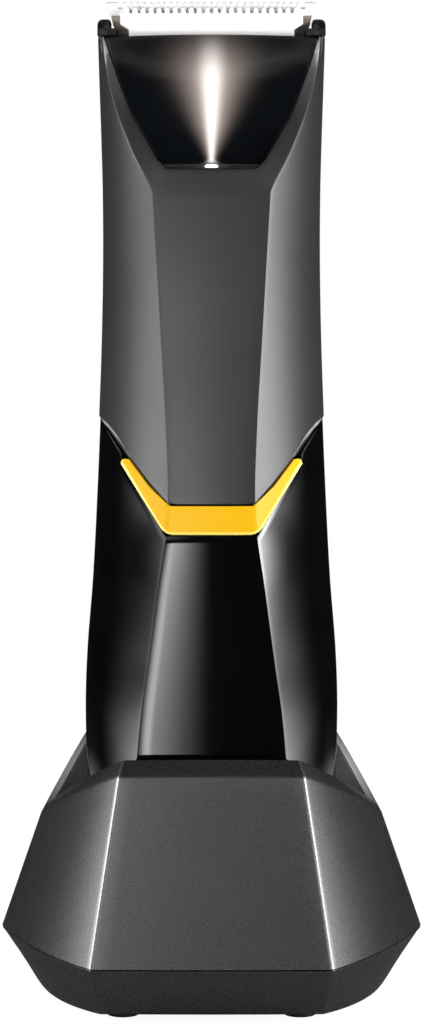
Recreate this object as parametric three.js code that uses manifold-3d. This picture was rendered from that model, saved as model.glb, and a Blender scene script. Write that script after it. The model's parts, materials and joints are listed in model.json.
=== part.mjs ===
// A cordless body groomer standing in its charging dock, as an assembly of separate pieces.
// Millimetres, +Z up, the front of the groomer faces -Y, the origin is under the dock's middle.
import * as THREE from "three";
import { mergeVertices } from "three/addons/utils/BufferGeometryUtils.js";
import Module from "manifold-3d";

const wasm = await Module();
wasm.setup();

// ---- driving dimensions ----
const GAP = 0.3; // between pieces that are cut to each other's shape
const FAR = 60; // reach of a cutting tool past the part

// Groomer body: height, half-width, front depth, rear depth, half-width of the flat front facet.
const BODY_STATIONS = [
  [17, 20.3, 15.6, 15.6, 14.6],
  [18, 21.1, 16.5, 16.5, 14.6],
  [21, 21.6, 17.2, 17.2, 14.5],
  [37, 22.2, 18.4, 18.4, 13.3],
  [50, 22.5, 18.6, 18.5, 12.2],
  [60, 22.15, 18.5, 18.3, 10.8],
  [72, 21.2, 18.3, 17.9, 9.2],
  [85, 20.5, 18, 17.5, 7.5],
  [100, 19.85, 17.7, 17.1, 7.8],
  [114, 19.35, 17.3, 16.8, 8.6],
  [128, 19.1, 17, 16.5, 9.4],
  [140, 19.15, 16.5, 15.9, 10.1],
  [150, 19.4, 15.9, 14.2, 10.6],
  [159, 19.7, 15.2, 11.2, 11],
  [167, 19.95, 14.5, 8.6, 11.4],
];
const BODY_BOTTOM = BODY_STATIONS[0][0];
const BODY_TOP = 167;
const WALL = 1.8;
const SIDE_FULLNESS = 0.62; // how square the side curves are
const REAR_FACET = 0.75; // rear flat, as a share of the front flat
const SIDE_STEPS = 6;

// Edge between the matte upper covers and the gloss handle, as x and z on the right side:
// a V with a flat bottom.
const V_EDGE = [
  [7.2, 86.4],
  [10.7, 88.9],
  [14.2, 94.3],
  [19.7, 99.9],
];
const V_BOTTOM = V_EDGE[0][1];
const V_TOP = V_EDGE[3][1];
// Outer edge of the yellow trim that lines the V on the front, from its floor to its arm's end.
const TRIM_FLOOR = [7.95, 81.3];
const TRIM_ARM = [15.7, 93.1];
const TRIM_THICKNESS = 1.5;

// Light scoop under the blades: depth in front of the axis by height.
const SCOOP_FRAME = [
  [141.8, 16.6],
  [143.4, 15.9],
  [147, 14.1],
  [153.4, 10.9],
  [162, 7.4],
  [168, 5.9],
];
const SCOOP_PANEL = [
  [143.7, 15.9],
  [144.5, 14.3],
  [147, 12.9],
  [153.4, 10.5],
  [162, 7.2],
  [166.9, 6],
];
const SCOOP_OUTLINE = [
  [7.8, 143.7],
  [8.9, 144.7],
  [13.5, 153],
  [16.2, 160.6],
  [18.2, 166.9],
];
const PANEL_THICKNESS = 1.3;
const LENS = { halfWidth: 1.25, front: 15.4, back: 14.5, bottom: 141.2, top: 144.5 };

// Drive train, on one axis.
const MOTOR = { y: 1.5, radius: 10.2, bottom: 114, top: 141.5 };
const SHAFT_RADIUS = 1;
const RUNNING_CLEARANCE = 0.06;
const ECCENTRICITY = 1;
const CAM = { radius: 4, bottom: 146, top: 152.5 };
const PIN_TOP = 164.3;
const CUTTER_STROKE = 1; // to each side
const SHAFT_SIDES = 18;

// Power pack and electronics.
const BATTERY = { radius: 7.1, bottom: 25, top: 75 };
const BOARD = { halfWidth: 9, y: 8.4, thickness: 1.2, bottom: 82, top: 111 };
const BUTTON = { z: 104, radius: 5.5, travel: 0.8, proud: 0.5 };
const STATUS_Z = 94;
const CONTACT_X = 7;

// Blade head: the plane between the two blades leans forward by this angle.
const BLADE_TILT = THREE.MathUtils.degToRad(20);
const BLADE_TIP = { y: -5.3, z: 172.75 };
const FIXED_PITCH = 1.16;
const CUTTER_PITCH = 1.4;
const FIXED_ROOT = -0.95; // where the comb's tooth gaps end, below its tips
const TOOTH_ZONE = 16.2; // half-width of the toothed edge
const HEAD_SEAT = 167.2; // underside of the blade head's rim

// Dock: plan at the belt, and how it shrinks with height.
const BELT_Z = 10.3;
const DOCK_SIDE = 37.3;
const DOCK_FRONT = 33;
const DOCK_FACET = 20.1;
const DOCK_CURVE = { x: 31.25, y: 19.5 };
const DOCK_TAPER = 0.0093; // share of the plan lost for each millimetre up
const FACET_TAPER = 0.0073;
const BASE_TAPER = 0.6875; // inward for each millimetre down, below the belt
const DOCK_WALL = 1.8;
const DOCK_STEPS = 9;
const NOTCH_Z = 30.6; // outer rim at the two sides
const RIM_FRONT_SLOPE = 0.443;
const RIM_REAR_SLOPE = 1.48;
const RIM_REAR_TOP = 44.6;
const RIM_BEVEL = 2.7; // the rim is this much higher on the inside
const DECK = { bottom: 29.2, top: 31.2 };
const TUB_FLOOR = { bottom: 14.4, top: 16.8 };
const BASE_BOTTOM = 1.2;
const BASE_TOP = 10;
const FOOT = { x: 15, y: 21, radius: 3.1, top: 1.5 };
const BASE_SCREW = { x: 17, y: 8.5 };

// ---- materials ----
function finish(color, roughness, metalness = 0) {
  return new THREE.MeshStandardMaterial({ color, roughness, metalness });
}
const MATTE_SHELL = finish(0x3f4042, 0.55);
const GLOSS_BLACK = finish(0x08090a, 0.08);
const YELLOW_TRIM = finish(0xf5c328, 0.3);
const CLEAR_LENS = finish(0xf4f6ff, 0.1);
const WHITE_CERAMIC = finish(0xf1f1ee, 0.35);
const BLACK_PLASTIC = finish(0x121315, 0.45);
const DOCK_PLASTIC = finish(0x3a3a3c, 0.7);
const RUBBER = finish(0x1b1b1c, 0.9);
const STEEL = finish(0xb9bcc0, 0.3, 1);
const GOLD_CONTACT = finish(0xd9b24a, 0.25, 1);
const BOARD_GREEN = finish(0x1d5b37, 0.5);
const CELL_WRAP = finish(0x2d6fb0, 0.4);
const WHITE_PLASTIC = finish(0xe8e8e4, 0.5);

// ---- solids ----
const groomer = new THREE.Group();

function toSolid(geometry) {
  const loose = geometry.index ? geometry.toNonIndexed() : geometry;
  const bare = new THREE.BufferGeometry();
  bare.setAttribute("position", loose.getAttribute("position"));
  const merged = mergeVertices(bare, 1e-4);
  const vertProperties = merged.getAttribute("position").array;
  const triVerts = new Uint32Array(merged.index.array);
  return new wasm.Manifold(new wasm.Mesh({ numProp: 3, vertProperties, triVerts }));
}

function piece(name, solid, material) {
  const { vertProperties, triVerts } = solid.getMesh();
  const geometry = new THREE.BufferGeometry();
  geometry.setAttribute("position", new THREE.BufferAttribute(vertProperties, 3));
  geometry.setIndex(new THREE.BufferAttribute(triVerts, 1));
  const mesh = new THREE.Mesh(geometry.toNonIndexed(), material);
  mesh.geometry.computeVertexNormals();
  mesh.name = name;
  groomer.add(mesh);
  return mesh;
}

function joinAll(solids) {
  return solids.reduce((whole, next) => whole.add(next));
}

function cutAll(solid, tools) {
  return tools.reduce((rest, tool) => rest.subtract(tool), solid);
}

function block(x0, x1, y0, y1, z0, z1) {
  const geometry = new THREE.BoxGeometry(x1 - x0, y1 - y0, z1 - z0);
  return toSolid(geometry.translate((x0 + x1) / 2, (y0 + y1) / 2, (z0 + z1) / 2));
}

// A block centred on x = 0.
function slab(halfWidth, y0, y1, z0, z1) {
  return block(-halfWidth, halfWidth, y0, y1, z0, z1);
}

function rod(radius, x, y, z0, z1, sides = SHAFT_SIDES) {
  const geometry = new THREE.CylinderGeometry(radius, radius, z1 - z0, sides);
  return toSolid(geometry.rotateX(Math.PI / 2).translate(x, y, (z0 + z1) / 2));
}

function rodAlongY(radius, x, z, y0, y1, sides = SHAFT_SIDES) {
  const geometry = new THREE.CylinderGeometry(radius, radius, y1 - y0, sides);
  return toSolid(geometry.translate(x, (y0 + y1) / 2, z));
}

function turned(profile, x, y, sides = 16) {
  const points = profile.map(([radius, z]) => new THREE.Vector2(radius, z));
  const geometry = new THREE.LatheGeometry(points, sides);
  return toSolid(geometry.rotateX(Math.PI / 2).translate(x, y, 0));
}

function shapeOf(points) {
  return new THREE.Shape(points.map(([a, b]) => new THREE.Vector2(a, b)));
}

function extruded(points, depth, matrix) {
  const geometry = new THREE.ExtrudeGeometry(shapeOf(points), { depth, bevelEnabled: false });
  return toSolid(geometry.applyMatrix4(matrix));
}

// An outline in X and Z, carried from y0 to y1.
function prismAlongY(points, y0, y1) {
  const turn = new THREE.Matrix4().makeRotationX(Math.PI / 2);
  return extruded(points, y1 - y0, turn.setPosition(0, y1, 0));
}

// An outline in Y and Z, carried from x0 to x1.
function prismAlongX(points, x0, x1) {
  const alongX = new THREE.Vector3(1, 0, 0);
  const alongY = new THREE.Vector3(0, 1, 0);
  const alongZ = new THREE.Vector3(0, 0, 1);
  const turn = new THREE.Matrix4().makeBasis(alongY, alongZ, alongX);
  return extruded(points, x1 - x0, turn.setPosition(x0, 0, 0));
}

function mirrored(points) {
  return [...points, ...points.map(([x, z]) => [-x, z]).reverse()];
}

// Stacked outlines, each a ring of [x, y] given for a height, closed at both ends.
function loft(heights, outlineAt) {
  const rings = heights.map((z) => outlineAt(z).map(([x, y]) => [x, y, z]));
  const count = rings[0].length;
  const corners = [];
  const bottom = [0, 0, heights[0]];
  const top = [0, 0, heights[heights.length - 1]];
  for (let i = 0; i < count; i++) {
    const next = (i + 1) % count;
    corners.push(bottom, rings[0][next], rings[0][i]);
    corners.push(top, rings[rings.length - 1][i], rings[rings.length - 1][next]);
    for (let level = 1; level < rings.length; level++) {
      const low = rings[level - 1];
      const high = rings[level];
      corners.push(low[i], low[next], high[next], low[i], high[next], high[i]);
    }
  }
  return solidOfCorners(corners);
}

// A closed band: one profile of [x, y, z] points at each place around, outer side first.
function band(profiles) {
  const corners = [];
  profiles.forEach((here, i) => {
    const next = profiles[(i + 1) % profiles.length];
    here.forEach((point, j) => {
      const k = (j + 1) % here.length;
      corners.push(point, next[j], next[k], point, next[k], here[k]);
    });
  });
  return solidOfCorners(corners);
}

function solidOfCorners(corners) {
  const geometry = new THREE.BufferGeometry();
  geometry.setAttribute("position", new THREE.Float32BufferAttribute(corners.flat(), 3));
  return toSolid(geometry);
}

// ---- outlines of the groomer's body ----

// Smooth value of one column of a table at a height.
function valueAt(table, column, z) {
  const last = table.length - 1;
  if (z <= table[0][0]) return table[0][column];
  if (z >= table[last][0]) return table[last][column];
  const i = table.findIndex((row) => row[0] > z) - 1;
  const slope = (a, b) => (table[b][column] - table[a][column]) / (table[b][0] - table[a][0]);
  const span = table[i + 1][0] - table[i][0];
  const t = (z - table[i][0]) / span;
  const startSlope = slope(Math.max(i - 1, 0), i + 1) * span;
  const endSlope = slope(i, Math.min(i + 2, last)) * span;
  const start = table[i][column];
  const end = table[i + 1][column];
  const bend = (2 * t ** 3 - 3 * t ** 2 + 1) * start + (3 * t ** 2 - 2 * t ** 3) * end;
  return bend + (t ** 3 - 2 * t ** 2 + t) * startSlope + (t ** 3 - t ** 2) * endSlope;
}

// Points of one side of a plan, from the front crease round to the rear one.
function sideCurve(facet, front, width, rearFacet, rear, steps) {
  const control = (depth) => new THREE.Vector2(width, depth * SIDE_FULLNESS);
  const crease = (half, depth) => new THREE.Vector2(half, depth);
  const middle = new THREE.Vector2(width, 0);
  const ahead = new THREE.QuadraticBezierCurve(crease(facet, -front), control(-front), middle);
  const behind = new THREE.QuadraticBezierCurve(middle, control(rear), crease(rearFacet, rear));
  const points = [...ahead.getPoints(steps), ...behind.getPoints(steps).slice(1)];
  return points.map((p) => [p.x, p.y]);
}

// Plan of the body at a height, moved inward by inset.
function bodyOutline(z, inset = 0) {
  const [width, front, rear, facet] = [1, 2, 3, 4].map((i) => valueAt(BODY_STATIONS, i, z));
  const flat = facet - inset * 0.4;
  const side = sideCurve(
    flat, front - inset, width - inset, flat * REAR_FACET, rear - inset, SIDE_STEPS,
  );
  return mirrored(side);
}

function levels(bottom, top) {
  const between = BODY_STATIONS.map(([z]) => z).filter((z) => z > bottom + 1 && z < top - 1);
  return [bottom, ...between, top];
}

function bodySolid(bottom, top, inset = 0) {
  return loft(levels(bottom, top), (z) => bodyOutline(z, inset));
}

function frontOf(z, inset = 0) {
  return valueAt(BODY_STATIONS, 2, z) - inset;
}

function rearOf(z, inset = 0) {
  return valueAt(BODY_STATIONS, 3, z) - inset;
}

// Everything in front of a depth profile moved back by setBack, from its first height up.
function aheadOf(profile, setBack) {
  const points = profile.map(([z, depth]) => [setBack - depth, z]);
  const [, low] = points[0];
  const [topY] = points[points.length - 1];
  return prismAlongX([[-FAR, low], ...points, [topY, 2 * BODY_TOP], [-FAR, 2 * BODY_TOP]], -FAR, FAR);
}

// The region above the V edge, lifted by a clearance.
function aboveV(lift) {
  const [armX, armZ] = V_EDGE[2];
  const [sideX, sideZ] = V_EDGE[3];
  const slope = (sideZ - armZ) / (sideX - armX);
  const edge = V_EDGE.slice(0, 3).map(([x, z]) => [x, z + lift]);
  const farCorner = [FAR, sideZ + slope * (FAR - sideX) + lift];
  return prismAlongY(mirrored([...edge, farCorner, [FAR, 3 * BODY_TOP]]), -FAR, FAR);
}

// Outline of the yellow trim, from its straight outer edge to its inner edge along the V.
function trimOutline(clearance) {
  const inner = V_EDGE.slice(0, 3).map(([x, z]) => [x, z + clearance - GAP / 2]);
  return mirrored([
    [TRIM_FLOOR[0] + clearance * 0.4, TRIM_FLOOR[1] - clearance],
    [TRIM_ARM[0] + clearance, TRIM_ARM[1]],
    [TRIM_ARM[0] + clearance, TRIM_ARM[1] + clearance + 0.7],
    ...inner.reverse(),
  ]);
}

// ---- upper covers ----
const SPLIT = 0.06; // half of the parting line between the front and rear covers

function coverCavity() {
  const roof = [
    [141, 14.9],
    [142.4, 12.2],
    ...SCOOP_PANEL.slice(2).map(([z, depth]) => [z, depth - 3]),
  ];
  const bore = bodySolid(V_BOTTOM - 4, BODY_TOP + 1, WALL).subtract(aheadOf(roof, 0));
  const neck = slab(17.8, -4.7, 6.6, 163, BODY_TOP + 5);
  return bore.add(neck);
}

function coverBlank() {
  const outer = bodySolid(V_BOTTOM - 4, BODY_TOP, 0).intersect(aboveV(GAP / 2));
  return outer.subtract(coverCavity());
}

function scoopRecess() {
  const opening = prismAlongY(mirrored(SCOOP_OUTLINE.map(([x, z]) => [x + 0.25, z])), -FAR, 0);
  const floor = SCOOP_PANEL.map(([z, depth]) => [z - 0.25, depth]);
  return opening.intersect(aheadOf(floor, PANEL_THICKNESS + GAP));
}

function frontCover() {
  const half = coverBlank().intersect(block(-FAR, FAR, -FAR, -SPLIT, 0, BODY_TOP + 10));
  const trimSeat = prismAlongY(trimOutline(0.2), -FAR, 0);
  const lensHole = slab(
    LENS.halfWidth + 0.15, -LENS.front - 0.15, 0.15 - LENS.back, 139, LENS.top + 1,
  );
  const bosses = [-8, 8].map((x) => rodAlongY(2.4, x, 104, -frontOf(104, WALL - 0.3), -12.9, 16));
  const shell = cutAll(half, [aheadOf(SCOOP_FRAME, 0), scoopRecess(), lensHole, trimSeat]);
  return joinAll([shell, ...bosses]);
}

function rearCover() {
  const half = coverBlank().intersect(block(-FAR, FAR, SPLIT, FAR, 0, BODY_TOP + 10));
  const buttonHole = rodAlongY(BUTTON.radius + 0.25, 0, BUTTON.z, 10, FAR, 32);
  const lightHole = rodAlongY(1.3, 0, STATUS_Z, 10, FAR, 16);
  return cutAll(half, [buttonHole, lightHole]);
}

piece("front_cover", frontCover(), MATTE_SHELL);
piece("rear_cover", rearCover(), MATTE_SHELL);

// ---- light scoop ----
function lightPanel() {
  const outline = prismAlongY(mirrored(SCOOP_OUTLINE), -FAR, 0);
  const front = aheadOf(SCOOP_PANEL, 0);
  const back = aheadOf(SCOOP_PANEL, PANEL_THICKNESS);
  const skin = bodySolid(140, BODY_TOP, 0.1);
  const lensHole = slab(
    LENS.halfWidth + 0.15, -LENS.front - 0.15, 0.15 - LENS.back, 139, LENS.top + 1,
  );
  return cutAll(back.intersect(outline).intersect(skin), [front, lensHole]);
}

function ledLens() {
  const profile = [
    [-LENS.front, LENS.bottom],
    [-LENS.back, LENS.bottom],
    [-LENS.back, LENS.top],
    [-LENS.front, LENS.top - 0.5],
  ];
  return prismAlongX(profile, -LENS.halfWidth, LENS.halfWidth);
}

piece("light_panel", lightPanel(), GLOSS_BLACK);
piece("led_lens", ledLens(), CLEAR_LENS);
piece("led_board", slab(5, -14.2, -9, 138.4, 139.4), BOARD_GREEN);
piece("led_emitter", slab(1.1, -14.2, -12.6, 139.45, 140.9), CLEAR_LENS);

// ---- handle ----
const SLEEVE_BOTTOM = 20;
const CAP_RIM_TOP = 19.8;

function handleSleeve() {
  const outer = bodySolid(SLEEVE_BOTTOM, V_TOP + 2, 0.25);
  const inner = bodySolid(SLEEVE_BOTTOM - 3, V_TOP + 6, WALL + 0.1);
  const trimSeat = prismAlongY(trimOutline(0.2), -FAR, -2);
  return cutAll(outer, [inner, aboveV(-GAP / 2), trimSeat]);
}

function accentTrim() {
  const skin = bodySolid(V_BOTTOM - 8, V_TOP + 2, -0.1);
  const core = bodySolid(V_BOTTOM - 9, V_TOP + 3, TRIM_THICKNESS - 0.1);
  return skin.subtract(core).intersect(prismAlongY(trimOutline(0), -FAR, -3));
}

function endCap() {
  const rim = bodySolid(BODY_BOTTOM, CAP_RIM_TOP, 0);
  const plug = bodySolid(CAP_RIM_TOP - 0.5, 23, WALL + 0.4);
  const hollow = bodySolid(CAP_RIM_TOP, 24, WALL + 2);
  const holes = [-CONTACT_X, CONTACT_X].map((x) => rod(2.1, x, 0, 10, 30));
  return cutAll(rim.add(plug.subtract(hollow)), holes);
}

piece("handle_sleeve", handleSleeve(), GLOSS_BLACK);
piece("accent_trim", accentTrim(), YELLOW_TRIM);
piece("end_cap", endCap(), GLOSS_BLACK);
for (const [name, x] of [["left", -CONTACT_X], ["right", CONTACT_X]]) {
  const pad = [[0, 17.1], [2, 17.1], [2, 20.2], [3, 20.2], [3, 21], [0, 21]];
  piece(`charge_contact_${name}`, turned(pad, x, 0), GOLD_CONTACT);
}

// ---- frame inside the groomer ----
const CHASSIS = { halfWidth: 11, front: -12.6, back: -10.8, bottom: 24, top: 138 };
const SEAL_Z = 76;
const FLANGE = { bottom: 73.6, top: 79 };

function chassis() {
  const spine = slab(CHASSIS.halfWidth, CHASSIS.front, CHASSIS.back, CHASSIS.bottom, CHASSIS.top);
  const flange = bodySolid(FLANGE.bottom, FLANGE.top, WALL + 0.5);
  const groove = bodySolid(SEAL_Z - 0.1, SEAL_Z + 1.5, WALL - 0.5)
    .subtract(bodySolid(SEAL_Z - 1, SEAL_Z + 3, WALL + 1.6));
  const cellNeck = rod(BATTERY.radius + 0.3, 0, 0, FLANGE.bottom - 1, FLANGE.top - 1.4, 32);
  const wireSlot = slab(3, 2, 12, FLANGE.bottom - 1, FLANGE.top + 1);
  const cheeks = [-1, 1].map((side) => {
    const x = side * 9;
    return block(x - 0.9, x + 0.9, CHASSIS.back - 0.1, 3, 30, FLANGE.bottom + 0.1);
  });
  const saddle = slab(12.4, CHASSIS.back - 0.1, 1.5, 112.2, 138);
  const motorBay = rod(MOTOR.radius + 0.1, 0, MOTOR.y, 111, 140, 48);
  const shelf = slab(CHASSIS.halfWidth, CHASSIS.back - 0.1, 11.6, 112.2, 113.8);
  const shaftHole = rod(3.4, 0, MOTOR.y, 111, 115);
  const boardPosts = [84.5, 108.5].flatMap((z) => [-6.5, 6.5].map((x) => {
    return rodAlongY(1.6, x, z, CHASSIS.back - 0.1, BOARD.y - 0.05, 12);
  }));
  const screwHoles = [-8, 8].map((x) => rodAlongY(1.3, x, 104, -20, -9, 12));
  const frame = joinAll([spine, flange, ...cheeks, saddle.subtract(motorBay), shelf, ...boardPosts]);
  return cutAll(frame, [groove, cellNeck, wireSlot, shaftHole, ...screwHoles]);
}

function sleeveSeal() {
  const outer = bodySolid(SEAL_Z, SEAL_Z + 1.3, WALL + 0.15);
  return outer.subtract(bodySolid(SEAL_Z - 1, SEAL_Z + 3, WALL + 1.5));
}

piece("chassis", chassis(), BLACK_PLASTIC);
piece("sleeve_seal", sleeveSeal(), RUBBER);
piece("battery_cell", rod(BATTERY.radius, 0, 0, BATTERY.bottom, BATTERY.top, 32), CELL_WRAP);

// A pan-head screw along Y: the head on the +Y side, its driver slot cut across.
function screwAlongY(x, z, headY, tipY, radius) {
  const head = rodAlongY(radius * 2, x, z, headY - 1.2, headY, 16);
  const shank = rodAlongY(radius, x, z, tipY, headY - 1.1, 12);
  const slot = block(x - radius * 1.4, x + radius * 1.4, headY - 0.5, headY + 1, z - 0.3, z + 0.3);
  return head.add(shank).subtract(slot);
}

for (const [name, x] of [["left", -8], ["right", 8]]) {
  piece(`chassis_screw_${name}`, screwAlongY(x, 104, -9.5, -12.8, 1.1), STEEL);
}

// ---- motor and eccentric drive ----
function motorCan() {
  const can = rod(MOTOR.radius, 0, MOTOR.y, MOTOR.bottom, MOTOR.top, 48);
  const frontBoss = rod(3, 0, MOTOR.y, MOTOR.top - 0.1, MOTOR.top + 1.3);
  const rearBoss = rod(3, 0, MOTOR.y, MOTOR.bottom - 1.5, MOTOR.bottom + 0.1);
  const bore = rod(SHAFT_RADIUS + RUNNING_CLEARANCE, 0, MOTOR.y, 100, 160);
  const screwHoles = [-6.5, 6.5].map((x) => rod(1, x, MOTOR.y, MOTOR.top - 4, MOTOR.top + 2, 12));
  return cutAll(joinAll([can, frontBoss, rearBoss]), [bore, ...screwHoles]);
}

const BRACKET = { bottom: 141.6, top: 142.8 };

function motorBracket() {
  const plate = rod(9.8, 0, MOTOR.y, BRACKET.bottom, BRACKET.top, 32);
  const tabs = slab(13.5, MOTOR.y - 2.5, MOTOR.y + 2.5, BRACKET.bottom, BRACKET.top);
  const bossHole = rod(3.2, 0, MOTOR.y, 140, 145);
  const screwHoles = [-6.5, 6.5].map((x) => rod(1.1, x, MOTOR.y, 140, 145, 12));
  return cutAll(plate.add(tabs), [bossHole, ...screwHoles]);
}

function bracketScrew(x) {
  const head = rod(1.9, x, MOTOR.y, BRACKET.top + 0.05, BRACKET.top + 1.2, 16);
  const shank = rod(0.9, x, MOTOR.y, MOTOR.top - 3.6, BRACKET.top + 0.1, 12);
  const slot = block(x - 1.4, x + 1.4, MOTOR.y - 0.3, MOTOR.y + 0.3, BRACKET.top + 0.7, BRACKET.top + 2);
  return head.add(shank).subtract(slot);
}

function eccentricCam() {
  const hub = rod(CAM.radius, 0, MOTOR.y, CAM.bottom, CAM.top, 32);
  const shaftBore = rod(SHAFT_RADIUS + 0.02, 0, MOTOR.y, CAM.bottom - 1, CAM.bottom + 4);
  const weightRelief = block(-5, 5, MOTOR.y + 2.4, MOTOR.y + 5, CAM.bottom - 1, CAM.bottom + 3);
  const pinBore = rod(1.02, 0, MOTOR.y + ECCENTRICITY, CAM.top - 2, CAM.top + 1);
  return cutAll(hub, [shaftBore, weightRelief, pinBore]);
}

piece("motor_can", motorCan(), STEEL);
piece("motor_bracket", motorBracket(), STEEL);
piece("bracket_screw_left", bracketScrew(-6.5), STEEL);
piece("bracket_screw_right", bracketScrew(6.5), STEEL);
piece("motor_shaft", rod(SHAFT_RADIUS, 0, MOTOR.y, 112.2, CAM.bottom + 3.9), STEEL);
piece("eccentric_cam", eccentricCam(), WHITE_PLASTIC);
piece("drive_pin", rod(1, 0, MOTOR.y + ECCENTRICITY, CAM.top - 1.95, PIN_TOP), STEEL);

function driveSeal() {
  const skin = bodySolid(154.5, 156.3, WALL + 0.4);
  const behindScoop = aheadOf(SCOOP_PANEL.slice(2).map(([z, depth]) => [z, depth - 3.3]), 0);
  const pinWindow = rod(CAM.radius - 1.4, 0, MOTOR.y, 150, 160);
  return cutAll(skin, [behindScoop, pinWindow]);
}
piece("drive_seal", driveSeal(), RUBBER);

// ---- switch board and power button, on the rear ----
function controlBoard() {
  const back = BOARD.y + BOARD.thickness;
  const plate = slab(BOARD.halfWidth, BOARD.y, back, BOARD.bottom, BOARD.top);
  const charger = block(-5, -1, back - 0.1, back + 1.2, 86, 90);
  const coil = rodAlongY(2, 4.5, 88, back - 0.1, back + 1.6, 20);
  const lamp = slab(0.9, back - 0.1, back + 0.8, STATUS_Z - 0.6, STATUS_Z + 0.6);
  return joinAll([plate, charger, coil, lamp]);
}

function tactSwitch() {
  const back = BOARD.y + BOARD.thickness + 0.05;
  const body = block(-3, 3, back, back + 1.6, BUTTON.z - 3, BUTTON.z + 3);
  return body.add(rodAlongY(1.6, 0, BUTTON.z, back + 1.5, back + 2.3, 16));
}

function powerButton() {
  const face = rearOf(BUTTON.z) + BUTTON.proud;
  const flangeBack = rearOf(BUTTON.z, WALL) - 0.6;
  const cap = rodAlongY(BUTTON.radius, 0, BUTTON.z, flangeBack - 0.5, face, 32);
  const flange = rodAlongY(BUTTON.radius + 1, 0, BUTTON.z, flangeBack - 1.1, flangeBack - 0.1, 32);
  const stem = rodAlongY(1.5, 0, BUTTON.z, 12.85, flangeBack - 1, 16);
  const dish = new THREE.SphereGeometry(24, 48, 24).translate(0, face + 23.6, BUTTON.z);
  return joinAll([cap, flange, stem]).subtract(toSolid(dish));
}

function buttonGasket() {
  const front = rearOf(BUTTON.z, WALL) - 3.2;
  const back = rearOf(BUTTON.z, WALL) - 0.5;
  const ring = rodAlongY(BUTTON.radius + 2.6, 0, BUTTON.z, front, back, 32);
  const insideCover = bodySolid(BUTTON.z - 14, BUTTON.z + 14, WALL + 0.2);
  const middle = rodAlongY(BUTTON.radius + 1.3, 0, BUTTON.z, 5, FAR, 32);
  return ring.intersect(insideCover).subtract(middle);
}

piece("control_board", controlBoard(), BOARD_GREEN);
piece("tact_switch", tactSwitch(), BLACK_PLASTIC);
piece("power_button", powerButton(), GLOSS_BLACK);
piece("button_gasket", buttonGasket(), RUBBER);
piece("status_lens", rodAlongY(1.15, 0, STATUS_Z, 10.5, rearOf(STATUS_Z) + 0.05, 16), CLEAR_LENS);

// ---- blade head ----

// World place of a point on the leaning blade plane: up is measured back from the tips.
function bladePoint(v, u) {
  const y = BLADE_TIP.y + v * Math.cos(BLADE_TILT) - u * Math.sin(BLADE_TILT);
  return [y, BLADE_TIP.z + v * Math.sin(BLADE_TILT) + u * Math.cos(BLADE_TILT)];
}

// An outline in X and the leaning plane's own height, given a thickness from v0 to v1.
function bladePlate(points, v0, v1) {
  const geometry = new THREE.ExtrudeGeometry(shapeOf(points), {
    depth: v1 - v0, bevelEnabled: false,
  });
  geometry.rotateX(Math.PI / 2).translate(0, v1, 0);
  geometry.rotateX(BLADE_TILT).translate(0, BLADE_TIP.y, BLADE_TIP.z);
  return toSolid(geometry);
}

// A toothed edge from -halfWidth to +halfWidth: tips at tipU, roots at rootU.
function teeth(pitch, halfWidth, tipU, rootU, tipShare, rootShare) {
  const count = Math.floor((2 * halfWidth) / pitch);
  const start = (-count * pitch) / 2;
  const points = [];
  for (let i = 0; i < count; i++) {
    const middle = start + (i + 0.5) * pitch;
    const tip = (pitch * tipShare) / 2;
    const root = (pitch * rootShare) / 2;
    points.push([middle - root, rootU], [middle - tip, tipU], [middle + tip, tipU]);
    points.push([middle + root, rootU]);
  }
  return points;
}

const BLADE_SEAM = -2.2; // where the white comb ends and the metal carrier begins

function fixedBlade() {
  const ends = [
    [17.6, BLADE_SEAM],
    [18.7, -1.3],
    [18.7, -0.5],
    [18.2, 0],
    [TOOTH_ZONE + 0.1, 0],
    [TOOTH_ZONE + 0.1, FIXED_ROOT],
  ];
  const left = ends.map(([x, u]) => [-x, u]);
  const toothed = teeth(FIXED_PITCH, TOOTH_ZONE, 0, FIXED_ROOT, 0.42, 0.68);
  return bladePlate([...left, ...toothed, ...ends.reverse()], 0, 1);
}

// The metal plate that holds the comb: a waisted neck at each end.
function bladeCarrier() {
  const side = [
    [17.5, BLADE_SEAM - 0.06],
    [17.1, -4.2],
    [16.3, -5],
    [16.3, -7.2],
  ];
  const plate = bladePlate([...side, ...side.map(([x, u]) => [-x, u]).reverse()], 0, 1);
  const holes = [-9, 9].map((x) => rodAcrossBlade(1.25, x, -5.4, -1, 2));
  return cutAll(plate, holes);
}

// A rod square to the blade plane, centred on x and u.
function rodAcrossBlade(radius, x, u, v0, v1, sides = 16) {
  const geometry = new THREE.CylinderGeometry(radius, radius, v1 - v0, sides);
  geometry.translate(x, (v0 + v1) / 2, u);
  return toSolid(geometry.rotateX(BLADE_TILT).translate(0, BLADE_TIP.y, BLADE_TIP.z));
}

const CUTTER = { back: -0.1, front: -1.2, bottom: -9.4 };

function cutterBlade() {
  const side = [
    [15.9, -1.6],
    [15.9, -3.4],
    [14.4, -4.4],
    [14.4, CUTTER.bottom + 0.6],
    [13.8, CUTTER.bottom],
  ];
  const left = side.map(([x, u]) => [-x, u]).reverse();
  const toothed = teeth(CUTTER_PITCH, 15.6, -0.5, -1.45, 0.4, 0.66);
  return bladePlate([...left, ...toothed, ...side], CUTTER.front, CUTTER.back);
}

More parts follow.
